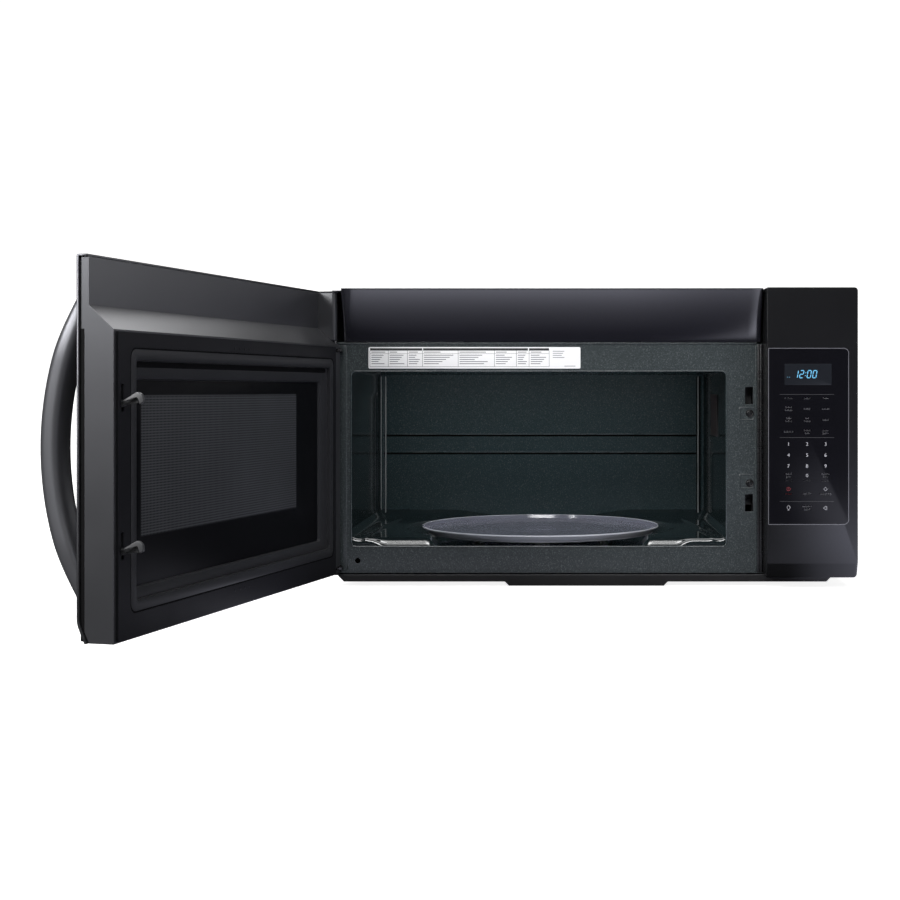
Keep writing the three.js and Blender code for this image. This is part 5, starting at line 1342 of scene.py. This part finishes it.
class OVEN_OT_turntable(bpy.types.Operator):
    """Builds the glass tray, the roller ring, its three rollers and the drive coupler."""

    bl_idname = "oven.turntable"
    bl_label = "Turntable"

    def execute(self, context):
        self.tray(context.scene.oven_cavity)
        white = moulded("roller_plastic", (0.60, 0.60, 0.58), 0.38)
        self.rollers(white)
        dress(white, "turntable_coupler")
        return {"FINISHED"}

    def circle(self, radius, height, half, sides):
        """A round section (radius, height) to be turned about the spindle."""
        a = np.linspace(0, 2 * math.pi, sides, endpoint=False)
        return np.stack([radius + half * np.cos(a), height + half * np.sin(a)], -1)

    def tray(self, own):
        """The tray, and a skin over its flared wall between a bead at its rim and one at its foot, all
        in a far lighter glass: a painted highlight on rim and wall."""
        sides, extra, bead = 144, 3.5, 1.5
        (left, _, base), (right, _, rim) = span("glass_tray")
        r = (right - left) / 2 + extra
        glass = clear_glass("tray_glass", own.glass, 0.13, 0.55, 0.9)
        shell = lathe(self.tray_profile(r, base, rim), *SPINDLE, sides)
        piece("turntable_tray", [shell], "tray", glass, ["glass_tray"], crease=50)
        edge = self.circle(r - 1.6, rim - 1.6, bead, 12)
        foot = self.circle(r - 10.2, base + 1.6, bead, 12)
        skirt = [(r - 12.2, base + 0.1), (r - 9.3, base + 2.2), (r - 5.3, rim - 7.2)]
        skirt += [(r - 2.0, rim - 3.2), (r - 1.6, rim - 3.2), (r - 4.7, rim - 7.4)]
        skirt += [(r - 8.7, base + 1.9), (r - 11.8, base)]
        beads = [lathe(shape, *SPINDLE, sides) for shape in (edge, foot, skirt)]
        # Rim beads and wall skin in a far lighter glass than the tray: a painted highlight.
        bright = clear_glass("tray_rim_glass_painted_highlight", (0.80, 0.82, 0.90), 0.06, 0.35, 0.9)
        piece("turntable_rim", beads, "tray", bright)

    def rollers(self, white):
        """The carrier ring with its three shafts, and a grooved roller on each. Shafts and
        rollers are profiles (radius, distance from the spindle) turned about their own axes."""
        low, high = span("roller_ring")
        middle = (low[2] + high[2]) / 2
        shaft = [(0, 104), (1.6, 104), (1.6, 116), (1.1, 116.5), (0, 116.5)]
        wheel = [(1.9, 108.2), (4.6, 108.0), (5.6, 108.4), (6.0, 109.2), (6.0, 110.9), (5.5, 111.4)]
        wheel += [(5.5, 112.6), (6.0, 113.1), (6.0, 114.8), (5.6, 115.6), (4.6, 116.0), (1.9, 115.8)]
        centre = (*SPINDLE, middle)
        ways = [(math.cos(turn), math.sin(turn), 0) for turn in ROLLER_TURNS]
        shells = [lathe(self.circle(105, middle, 2.5, 14), *SPINDLE, 96)]
        shells += [lathe_between(shaft, centre, way, 16) for way in ways]
        piece("roller_carrier", shells, "ring", white, ["roller_ring"], crease=40)
        for k, way in enumerate(ways, 1):
            shell = lathe_between(wheel, centre, way, 36)
            body, node = f"wheel_{k}", f"roller_{k}"
            piece(f"tray_roller_{k}", [shell], body, white, [node], crease=40)

    def tray_profile(self, r, low, high):
        """From the middle out: a thick flat plate, a soft step, a flared wall and a bead rim;
        round the hub three low rings are pressed into the glass."""
        plate = low + 5.0
        radius_in = np.linspace(r - 28, 0, 60)
        top = np.full_like(radius_in, plate)
        for ring, tall in ((24.0, 0.9), (60.0, 0.5), (112.0, 0.5)):
            top = top + tall * hump(radius_in, ring, 1.8)
        under = [(0, low), (r - 16, low), (r - 12, low + 0.5), (r - 9, low + 2.4)]
        wall = [(r - 5.0, high - 7.2), (r - 1.8, high - 3.4), (r - 1.0, high - 1.9)]
        rim = [(r - 0.9, high - 0.9), (r - 1.2, high - 0.4), (r - 1.8, high - 0.3)]
        rim += [(r - 3.0, high - 0.7)]
        slope = [(r - 5.0, high - 7.1), (r - 9.0, plate + 1.2), (r - 16, plate + 0.3)]
        middle = np.stack([radius_in, top], -1).tolist()
        return np.array(under + wall + rim + slope + middle)


class OVEN_OT_door(bpy.types.Operator):
    """Builds the door's skin and front glass, finishes its frame, and builds the black inner
    cover with its grey ring, stepped opening and perforated pane."""

    bl_idname = "oven.door"
    bl_label = "Door"

    def execute(self, context):
        own = context.scene.oven_door
        metal = satin_metal("door_metal", context.scene.oven_case.metal, 0.32, door=True)
        self.skin(metal)
        x0, x1, z0, _ = DOOR
        y = FRONT_Y
        a, b, c, d = x0 + 28.3, x1 - 58.3, z0 + 50.3, BAND_Z - 0.3
        pane = cushion(a, b, c, d, y + 3.0, y - 0.2, 6.0, 0.5)
        # The gasket's section (how far in, depth), from 1.7 mm outside the pane inwards.
        section = [(0, 0.4), (0.2, -0.15), (1.3, -0.1), (1.5, 0.8), (1.5, 1.5), (0, 1.5)]
        levels = [(i - 1.7, 7.5 - i, y + deep) for i, deep in section]
        rim = terrace([(a + i, b - i, c + i, d - i, r, level) for i, r, level in levels])
        dark = moulded("glass_gasket", (0.008, 0.008, 0.009), 0.5, True)
        piece("door_glass_gasket", [tube(rim, True)], "door", dark, door=True)
        gloss = glossy("door_front_glass", own.glass, 0.05, True, 1.0)
        piece("door_front_glass", [pane], "door", gloss, ["door_glass"], door=True)
        tone = shade(context.scene.oven_case.metal, 1.15)
        dress(satin_metal("door_edge_metal", tone, 0.33, door=True), "door_frame")
        x = x1 - 3.0
        # A near-black strip along the door's free edge, where skin meets frame: a painted shadow in the
        # gap.
        seam = cushion(x - 0.3, x + 0.35, -203.0, 126.5, -423.5, -427.7, 0.2, 0.1)
        gap = moulded("seam_painted_shadow", (0.003, 0.003, 0.0035), 0.7, True, level=0.1)
        piece("door_edge_seam", [seam], "door", gap, door=True)
        self.cover(own)
        self.fittings(own)
        return {"FINISHED"}

    def skin(self, finish):
        """The CAD's bent sheet in profile with softened bends, carried across the door."""
        x0, x1, z0, z1 = DOOR
        y, t = FRONT_Y, 2.5
        profile = [
            (y, z1),
            (y, z0 + CHIN),
            (y + CHIN_DEPTH, z0),
            (y + CHIN_DEPTH + t, z0),
            (y + t, z0 + CHIN),
            (y + t, z1 - t),
            (BAND_Y, z1 - t),
            (BAND_Y, z1),
        ]
        radii = [2.2, 6.0, 0.8, 0.5, 6.0, 0.4, 0.5, 0.8]
        shell = bar(softened(profile, radii, 4), x0, x1, 0.5, (0.5, 0.5))
        piece("door_face", [shell], "door", finish, ["door_skin"], door=True)

    def cover(self, own):
        """Levels run from the cover's outer edge over the ring's groove and its rounded lip
        down two steps to the pane; all are rounded rectangles with one number of points."""
        y = DOOR_BACK
        w = own.lip_width * MM
        a, b, c, d = -347.0, 214.0, -176.0, 106.0
        black = moulded("cover_plastic", own.cover, 0.38, True, level=0.05)
        us = np.array([-355.5, a - 1.6, b + 1.6, HOOK_X - 2.9, HOOK_X + 2.9, 239.5])
        vs = [-203.2, c - 1.6, HOOK_Z[1] - 14.5, HOOK_Z[1] + 14.5, HOOK_Z[0] - 14.5]
        vs = np.array(vs + [HOOK_Z[0] + 14.5, d + 1.6, 123.7])
        keep = np.ones((5, 7), bool)
        keep[1, 1:6] = False
        keep[3, 2] = keep[3, 4] = False
        flat = swap(cells(us, vs, keep, y - 2.5, y), [0, 2, 1])
        lid = [
            (a - 1.6, b + 1.6, c - 1.6, d + 1.6, 0.02, y),
            (a - 1.6, b + 1.6, c - 1.6, d + 1.6, 0.02, y - 2.4),
            (a + 1, b - 1, c + 1, d - 1, 9, y - 2.4),
            (a + 0.4, b - 0.4, c + 0.4, d - 0.4, 10, y - 1.8),
            (a - 1.3, b + 1.3, c - 1.3, d + 1.3, 11, y - 1.7),
            (a - 1.5, b + 1.5, c - 1.5, d + 1.5, 11, y),
        ]
        shells = [flat, tube(terrace(lid), True)]
        shells += [self.dimple(x, z) for z in (112.5, -184.0) for x in (-33, -47, -60, -73)]
        nodes = ["choke_cover"]
        piece("door_inner_cover", shells, "door", black, nodes, door=True)
        levels = [(a, b, c, d, 10, y - 2.2), (a, b, c, d, 10, y - 0.4)]
        for t in np.linspace(0, math.pi, 7):
            i = 1.6 + (w - 3.2) * t / math.pi
            levels.append((a + i, b - i, c + i, d - i, 10 - i * 0.4, y + 0.05 + 0.35 * math.sin(t)))
        levels.append((a + w, b - w, c + w, d - w, 5.0, y - 0.5))
        levels.append((a + w, b - w, c + w, d - w, 5.0, y - 5.6))
        levels.append((a + w - 1.2, b - w + 1.2, c + w - 1.2, d - w + 1.2, 6.0, y - 5.6))
        grey = moulded("ring_plastic", own.lip, 0.38, True, level=0.10)
        shells = [tube(terrace(levels), True)]
        shells.append(self.ledge(a + w, b - w, c + w, d - w, y))
        piece("door_seal_ring", shells, "door", grey, door=True)
        slot = cushion(a + w + 7, b - w - 3, 86.2, 92.8, y - 5.9, y - 4.75, 3.2, 0.2)
        well = moulded("slot_shadow", (0.0040, 0.0040, 0.0046), 0.8, True, level=0.05)
        rings = [(-1.5, y - 0.25), (0.3, y - 0.25), (0.3, y - 1.65), (-1.5, y - 1.65)]
        moat = terrace([(a + i, b - i, c + i, d - i, 10.5, depth) for i, depth in rings])
        piece("door_ring_slot", [slot, tube(moat, True)], "door", well, door=True)
        holes = {
            "pitch": own.hole_pitch * MM,
            "radius": 0.30,
            "low": (-236.0, -97.0),
            "high": (176.0, 55.0),
        }
        finish = screen_glass("door_screen_pane", own.pane, own.sheet, holes)
        glass = cushion(a + w - 1, b - w + 1, c + w - 1, d - w + 1, y - 11.0, y - 9.2, 5.0, 0.3)
        nodes = ["inner_pane", "mesh_screen"]
        piece("door_inner_pane", [glass], "door", finish, nodes, door=True)

    def ledge(self, a, b, c, d, y):
        """Between ring and pane a step runs round, wider at the top and on the hinge side."""
        levels = [
            (a, b, c, d, 5.0, y - 5.0),
            (a + 2.5, b - 2.5, c + 2.5, d - 2.5, 5.0, y - 4.9),
            (a + 22, b - 7, c + 10, d - 18.5, 4.5, y - 5.2),
            (a + 24, b - 9, c + 12, d - 20.0, 4.0, y - 6.0),
            (a + 25, b - 10, c + 13, d - 21.0, 4.0, y - 8.6),
            (a + 25.5, b - 10.5, c + 13.5, d - 21.5, 4.0, y - 9.6),
            (a, b, c, d, 5.0, y - 9.6),
        ]
        return tube(terrace(levels), closed=True)

    def dimple(self, x, z):
        """A small raised dot: a flat dome of a squared cosine."""
        t = np.linspace(0, math.pi / 2, 5)
        profile = np.stack([1.6 * np.cos(t), 0.35 * np.sin(t)], -1)
        profile = np.concatenate([[[0, -0.5], [1.6, -0.5]], profile])
        return lathe_between(profile, (x, DOOR_BACK, z), (0, 1, 0), 14)

    def fittings(self, own):
        """The rounded block at the hinge side that closes the gap beside the vent panel, its
        lid, and the finishes of the hinge brackets."""
        y = BAND_Y
        top = DOOR[3]
        block = cushion(-377.4, -364.6, 133.0, top - 1.2, y - 1.0, y + 26.0, 3.0, 4.6, 8)
        lid = cushion(-377.8, -364.2, top - 2.2, top - 0.3, y - 1.0, y + 26.6, 0.9, 0.6, 3)
        grey = satin_metal("hinge_cap_metal", (0.050, 0.051, 0.055), 0.3, 0.4, door=True)
        piece("door_hinge_cap", [block, lid], "door", grey, door=True)
        dress(plated("hinge_plating", (0.10, 0.10, 0.105)), "hinge_bracket_upper", "hinge_bracket_lower")
        dress(plated("spring_wire", (0.55, 0.55, 0.54), 0.3), "latch_spring")


class OVEN_OT_handle(bpy.types.Operator):
    """Builds the bowed handle with a foot at each end."""

    bl_idname = "oven.handle"
    bl_label = "Handle"

    def execute(self, context):
        own = context.scene.oven_door
        bow = own.handle_bow * MM
        half = 161.0
        radius = (half**2 + bow**2) / (2 * bow)
        spread = math.asin(half / radius) * 1.03
        a = np.linspace(-spread, spread, 72)[:, None]
        b = np.linspace(0, 2 * math.pi, 56, endpoint=False)[None]
        # An oval carried along a circular arc; towards both ends it grows thinner.
        slim = 1 - 0.22 * smooth(0.55, 1.0, np.abs(a) / spread)
        wide = own.handle_width * MM / 2 * slim * np.sign(np.cos(b)) * np.abs(np.cos(b)) ** 0.62
        deep = own.handle_depth * MM / 2 * slim * np.sign(np.sin(b)) * np.abs(np.sin(b)) ** 0.62
        x = DOOR[1] - 27.5 + wide
        r = radius + deep
        y = np.minimum(FRONT_Y - bow + radius - r * np.cos(a), FRONT_Y - 0.05)
        z = r * np.sin(a) + 0 * x
        grip = tube(np.stack([x + 0 * z, y + 0 * x, z], -1))
        # The handle uses the door's coated steel at 2.1 times its colour: a lit copy, painted light.
        tone = shade(context.scene.oven_case.metal, 2.1)
        upright_grain = (1700.0, 1700.0, 14.0)
        finish = satin_metal("handle_metal_painted_light", tone, 0.32, 0.7, True, upright_grain)
        feet = []
        for side in (-1, 1):
            z0 = side * (half - 9)
            feet.append(cushion(205.5, 234.5, z0 - 15, z0 + 15, FRONT_Y + 0.4, FRONT_Y - 2.0, 9.0, 1.2))
        piece("door_handle", [grip] + feet, "door", finish, ["handle"], door=True)
        return {"FINISHED"}


class OVEN_OT_latch(bpy.types.Operator):
    """Builds the latch key's two hooks and the two cross-slotted screws."""

    bl_idname = "oven.latch"
    bl_label = "Latch"

    def execute(self, context):
        grey = moulded("hook_plastic", (0.050, 0.051, 0.054), 0.34, True)
        shells = [self.hook(z) for z in HOOK_Z]
        shells.append(cushion(HOOK_X - 1.4, HOOK_X + 1.4, -120.9, 63.6, -406.2, -396.4, 1.0, 0.4))
        nodes = ["latch_key"]
        piece("latch_hooks", shells, "hook_bar", grey, nodes, door=True)
        steel = plated("screw_plating", (0.045, 0.045, 0.046), 0.22)
        for node in ("latch_screw_upper", "latch_screw_lower"):
            low, high = span(node)
            centre = ((low[0] + high[0]) / 2, low[1], (low[2] + high[2]) / 2)
            piece(node + "_head", self.screw(centre), "body", steel, [node], crease=25)
        return {"FINISHED"}

    def hook(self, z):
        """The arm rises from its slot and ends in a nose that points down; the outline is
        softened and carried across 4.4 mm with rounded edges."""
        root = z - 10.0
        tip = DOOR_BACK + 25.5
        outline = [
            (-405.0, root),
            (DOOR_BACK + 1, root),
            (tip - 7.5, root + 10.5),
            (tip - 4.4, root + 3.0),
            (tip - 0.2, root + 5.0),
            (tip - 0.6, root + 12.5),
            (tip - 6.5, root + 16.8),
            (DOOR_BACK + 1, root + 6.6),
            (-405.0, root + 6.6),
        ]
        radii = [0.4, 3.0, 1.6, 1.0, 1.4, 3.0, 3.0, 3.0, 0.4]
        profile = softened(outline, radii, 5)
        return bar(profile, HOOK_X - 2.2, HOOK_X + 2.2, 0.7)

    def screw(self, centre):
        """A low dome on a flange: from the rim a rounded flange, a groove and an arc that is
        carried round the axis. Two crossed bars stand a little proud in its middle."""
        t = np.linspace(0, 1, 8)
        dome = np.stack([3.9 * np.sin(t * math.pi / 2), 0.88 - 0.55 * t**2.2], -1)[::-1]
        flange = [(5.6, 0.0), (5.8, 0.15), (5.7, 0.38), (5.2, 0.5), (4.6, 0.42), (4.2, 0.16)]
        profile = np.concatenate([[[0, -11.0], [2.0, -11.0], [2.0, 0.0]], flange, dome])
        head = lathe_between(profile, np.array(centre) + (0, 0.9, 0), (0, -1, 0), 40)
        shells = [head]
        for turn in (0.35, 0.35 + math.pi / 2):
            c, s = math.cos(turn), math.sin(turn)
            arm = round_box(-2.3, 2.3, -0.5, 0.5, 0.45, 3)
            flat = np.stack([arm[:, 0] * c - arm[:, 1] * s, arm[:, 0] * s + arm[:, 1] * c], -1)
            ridge = [
                upright(flat * k + (centre[0], centre[2]), centre[1] + 0.15 - d)
                for k, d in ((1.0, -0.6), (1.0, 0.12), (0.9, 0.14), (0.86, -0.1))
            ]
            shells.append(tube(ridge))
        return shells


class OVEN_OT_panel(bpy.types.Operator):
    """Builds the control panel's shell, its touch glass with a thin outline, and the display
    window."""

    bl_idname = "oven.panel"
    bl_label = "Control panel"

    def execute(self, context):
        own = context.scene.oven_panel
        # The shell uses the door's coated steel at 0.31 of its colour: a shaded copy, painted shade.
        metal = satin_metal("panel_metal_painted_shade", shade(context.scene.oven_case.metal, 0.31), 0.24, 0.7)
        y = FRONT_Y
        piece("panel_shell", [self.shell()], "body", metal, ["panel_housing"], crease=18)
        x0, x1, z0, z1 = GLASS_BOX
        radii = (7.5, 1.2, 1.2, 7.5)
        gloss = glossy("touch_gloss", own.glass, 0.12, coat=0.0, level=0.16)
        pane = cushion(x0, x1, z0, z1, y + 0.6, GLASS_Y + 0.05, radii, 0.35)
        piece("touch_pane", [pane], "body", gloss, ["touch_glass"])
        line = ink("outline_print", own.outline, rough=0.3)
        path = round_box(x0 + 0.5, x1 - 0.5, z0 + 0.5, z1 - 0.5, (7.0, 1.0, 1.0, 7.0), 8)
        edge = ribbon(path, 1.0, y + 0.2, GLASS_Y - 0.02, closed=True)
        piece("touch_outline", [edge], "body", line)
        a, b, c, d = DISPLAY_BOX
        window = glossy("display_gloss", (0.012, 0.0135, 0.0165), 0.1, coat=0.0, level=0.2)
        lens = cushion(a, b, c, d, y + 0.4, GLASS_Y, 1.2, 0.15)
        piece("display_lens", [lens], "body", window, ["display_window"])
        return {"FINISHED"}

    def shell(self):
        """Rounded rectangles from the back to the front. Over the chin's depth the lower edge
        climbs in a straight line, and over the last 1.2 mm all edges round off."""
        back, front = PLATE_Y - 0.3, FRONT_Y
        soft = 1.2
        a = np.linspace(0, math.pi / 2, 10)
        ys = [back, front + CHIN_DEPTH + 1.5, front + CHIN_DEPTH + 0.6, front + CHIN_DEPTH - 0.6]
        ys = np.concatenate([ys, np.linspace(front + CHIN_DEPTH - 1.5, front + soft, 6)[:-1]])
        ys = np.concatenate([ys, front + soft * (1 - np.sin(a))])
        levels = []
        for y in ys:
            climb = np.clip((front + CHIN_DEPTH - y) / CHIN_DEPTH, 0, 1)
            near = np.clip((front + soft - y) / soft, 0, 1)
            i = soft * (1 - math.sqrt(1 - near**2))
            low = BODY_BOTTOM + CHIN * climb
            radii = (5.0 - i, 1.5 - i * 0.8, 1.5 - i * 0.8, 5.0 - i)
            levels.append((PANEL_LEFT + i, BODY_RIGHT - i, low, BODY_TOP + TOP_LIP - i, radii, y))
        return tube(terrace(levels))


class OVEN_OT_legends(bpy.types.Operator):
    """Prints the key marks: plain digits, broken bars where the words were, thin rules and
    small signs, and lights the display's digits."""

    bl_idname = "oven.legends"
    bl_label = "Legends"

    def execute(self, context):
        own = context.scene.oven_panel
        self.back, self.front = GLASS_Y + 0.1, GLASS_Y - 0.06
        columns = (280.1, 306.5, 332.9)
        shells, faint, rules = [], [], []
        words = [(columns[0], 49.7, 11), (columns[1], 49.7, 9.5), (columns[2], 49.7, 8)]
        words += [(columns[0], 36.9, 9.5), (columns[0], 32.6, 10.5), (columns[1], 34.7, 10)]
        words += [(columns[2], 34.7, 11), (columns[0], 21.2, 7.5), (columns[0], 16.9, 10)]
        words += [(columns[1], 21.2, 5), (columns[1], 16.9, 9.5), (columns[2], 19.0, 9.5)]
        words += [(columns[0], 1.8, 13.5), (columns[1], 4.0, 9.5), (columns[1], -0.3, 6.5)]
        words += [(columns[2], 4.0, 8), (columns[2], -0.3, 8.5), (columns[0], -58.4, 9)]
        words += [(columns[0], -62.4, 7), (columns[2], -58.4, 11.5), (columns[2], -62.4, 8)]
        words += [(columns[1], -86.7, 12), (columns[2], -86.7, 16), (columns[1], -104.6, 13.5)]
        words += [(columns[1], -109.0, 9.5)]
        for x, z, width in words:
            shells += self.word(x, z, width)
        for x in columns:
            faint += self.word(x, -67.8, 9.5)
        for z in (55.6, -6.0, -97.3):
            rules.append(self.strip(306.3, z, 77.6, 0.5))
        for z, row in {-15.3: "123", -31.0: "456", -46.7: "789"}.items():
            for x, digit in zip(columns, row):
                shells.append(digit_shapes(digit, x, z, 4.9, self.back, self.front))
        shells.append(digit_shapes("0", columns[1], -60.3, 4.9, self.back, self.front))
        shells += self.signs(columns)
        piece("key_marks", shells, "body", ink("key_print", own.print))
        dim = ink("faint_print", shade(own.print, 0.35))
        piece("key_notes", faint, "body", dim)
        piece("key_rules", rules, "body", ink("rule_print", shade(own.print, 0.10)))
        turn = np.linspace(0, 2 * math.pi, 28, endpoint=False)
        ring = np.stack([columns[0] + 2.4 * np.cos(turn), -79.6 + 2.4 * np.sin(turn)], -1)
        stop = [ribbon(ring, 0.55, self.back, self.front, True)]
        tick = np.array([[columns[0], -78.4], [columns[0], -80.2]])
        stop.append(ribbon(tick, 0.6, self.back, self.front))
        stop += self.word(columns[0], -86.6, 9)
        piece("stop_marks", stop, "body", ink("stop_print", own.stop))
        lit = ink("lit_segments", own.lit, glow=0.7)
        digits = seven_segments("12:00", 287.6, 79.3, 4.9, 10.4, 0.17, GLASS_Y + 0.1, GLASS_Y - 0.05)
        piece("clock_digits", digits, "body", lit)
        spots = [self.strip(x, 80.2, 1.9, 1.4) for x in (278.6, 281.4)]
        piece("clock_note", spots, "body", ink("note_segments", shade(own.lit, 0.3)))
        return {"FINISHED"}

    def strip(self, x, z, width, height):
        """A flat bar with rounded ends."""
        w, h = width / 2, height / 2
        shape = round_box(x - w, x + w, z - h, z + h, h * 0.9, 3)
        return tube([upright(shape, self.back), upright(shape, self.front)])

    def word(self, x, z, width):
        """A row of small upright marks as wide as the word they stand for; every third one
        is taller, and no mark is a letter."""
        count = max(3, int(round(width / 1.35)))
        centres = x + (np.arange(count) - (count - 1) / 2) * width / count
        tall = 1.5 + 0.7 * (np.arange(count) % 3 == 0)
        return [self.strip(cx, z + (h - 1.5) / 2, 0.82, h) for cx, h in zip(centres, tall)]

    def signs(self, columns):
        """A start sign (a square on its corner), a lamp (a circle on a stem) and a fan (a
        ring whose radius swells three times round)."""
        x, z = columns[2], -79.6
        diamond = np.array([(x, z + 2.7), (x - 2.7, z), (x, z - 2.7), (x + 2.7, z)])
        made = [ribbon(diamond, 0.5, self.back, self.front, True)]
        turn = np.linspace(-0.3 * math.pi, 1.3 * math.pi, 22)
        lamp = np.stack([columns[0] + 2.1 * np.cos(turn), -105.7 + 2.3 * np.sin(turn)], -1)
        made.append(ribbon(lamp, 0.5, self.back, self.front))
        made += [self.strip(columns[0], z, 2.4, 0.5) for z in (-108.6, -109.7)]
        turn = np.linspace(0, 2 * math.pi, 60, endpoint=False)
        r = 1.3 + 1.4 * np.abs(np.sin(1.5 * turn))
        petals = np.stack([x + r * np.cos(turn), -106.7 + r * np.sin(turn)], -1)
        made.append(ribbon(petals, 0.45, self.back, self.front, True))
        return made


class OVEN_OT_guide_label(bpy.types.Operator):
    """Builds the cooking guide's label: white film with dark header bars, thin rules and
    grey marks in place of its words."""

    bl_idname = "oven.guide_label"
    bl_label = "Guide label"

    def execute(self, context):
        own = context.scene.oven_panel
        low, high = span("guide_label")
        film = paper("label_film", own.label)
        sheet = cushion(low[0], high[0], low[2], high[2], PLATE_Y + 0.2, low[1] - 0.25, 2.0, 0.15)
        piece("guide_film", [sheet], "body", film, ["guide_label"])
        back, front = low[1] - 0.1, low[1] - 0.33
        dark = []

        def block(x0, x1, z0, z1, into, radius=0.1):
            shape = round_box(x0, x1, z0, z1, radius, 2)
            into.append(tube([upright(shape, back), upright(shape, front)]))

        for x0, x1 in ((-323.6, -247.4), (-246.2, -93.2), (-91.6, -62.4)):
            block(x0, x1, 119.4, 122.9, dark)
        for x in (-323.8, -297.0, -269.0, -247.0, -195.0, -142.0, -110.0, -91.5, -62.2):
            block(x - 0.22, x + 0.22, 96.0, 119.6, dark)
        block(-324.0, -62.0, 95.8, 96.2, dark)
        block(-324.0, -62.0, 114.9, 115.2, dark)
        piece("guide_rules", dark, "body", ink("label_black", (0.02, 0.02, 0.022)))
        grey = []
        rows = (117.2, 112.7, 109.6, 106.5, 103.4, 100.3)
        spans = ((-296, -270), (-268, -248), (-246, -196), (-194, -143), (-141, -111), (-109, -92))
        spans += ((-90, -63), (-322.6, -298))
        for k, z in enumerate(rows):
            for m, (x0, x1) in enumerate(spans):
                share = 0.45 + 0.5 * ((7 * k + 5 * m) % 9) / 9
                block(x0 + 1, x0 + 1 + (x1 - x0 - 2) * share, z - 0.5, z + 0.5, grey)
        for k, z in enumerate((118.5, 115.5, 112.5, 109.5)):
            block(-57.0, -40.0 - 2 * (k % 3), z - 0.4, z + 0.4, grey)
        block(-40.0, -24.0, 96.4, 97.2, grey)
        piece("guide_marks", grey, "body", ink("label_grey", (0.14, 0.14, 0.145)))
        return {"FINISHED"}


class OVEN_OT_underside(bpy.types.Operator):
    """Finishes the grease filters and the cooktop lamp's cover."""

    bl_idname = "oven.underside"
    bl_label = "Underside"

    def execute(self, context):
        dress(woven("filter_weave", (0.55, 0.56, 0.57)), "grease_filter_left", "grease_filter_right")
        dress(clear_glass("lamp_lens", (0.75, 0.76, 0.77), 0.25, 0.5), "cooktop_lamp_cover")
        return {"FINISHED"}


class OVEN_PT_panel(bpy.types.Panel):
    """Lists the steps that build the oven and the settings they read."""

    bl_idname = "OVEN_PT_panel"
    bl_label = "Oven"
    bl_space_type = "VIEW_3D"
    bl_region_type = "UI"
    bl_category = "Oven"

    def draw(self, context):
        for step in STEPS:
            self.layout.operator(step.bl_idname)
        for name, group in SETTINGS.items():
            box = self.layout.box()
            for field in group.__annotations__:
                box.prop(getattr(context.scene, name), field)


STEPS = (
    OVEN_OT_stage,
    OVEN_OT_case,
    OVEN_OT_air_path,
    OVEN_OT_machine_bay,
    OVEN_OT_vent,
    OVEN_OT_front_plate,
    OVEN_OT_cavity,
    OVEN_OT_turntable,
    OVEN_OT_door,
    OVEN_OT_handle,
    OVEN_OT_latch,
    OVEN_OT_panel,
    OVEN_OT_legends,
    OVEN_OT_guide_label,
    OVEN_OT_underside,
)


def register():
    for group in SETTINGS.values():
        bpy.utils.register_class(group)
    for name, group in SETTINGS.items():
        setattr(bpy.types.Scene, name, bpy.props.PointerProperty(type=group))
    for step in STEPS:
        bpy.utils.register_class(step)
    bpy.utils.register_class(OVEN_PT_panel)


def unregister():
    bpy.utils.unregister_class(OVEN_PT_panel)
    for step in reversed(STEPS):
        bpy.utils.unregister_class(step)
    for name in SETTINGS:
        delattr(bpy.types.Scene, name)
    for group in SETTINGS.values():
        bpy.utils.unregister_class(group)


def main():
    register()
    for step in STEPS:
        group, name = step.bl_idname.split(".")
        getattr(getattr(bpy.ops, group), name)()


if __name__ == "__main__":
    main()
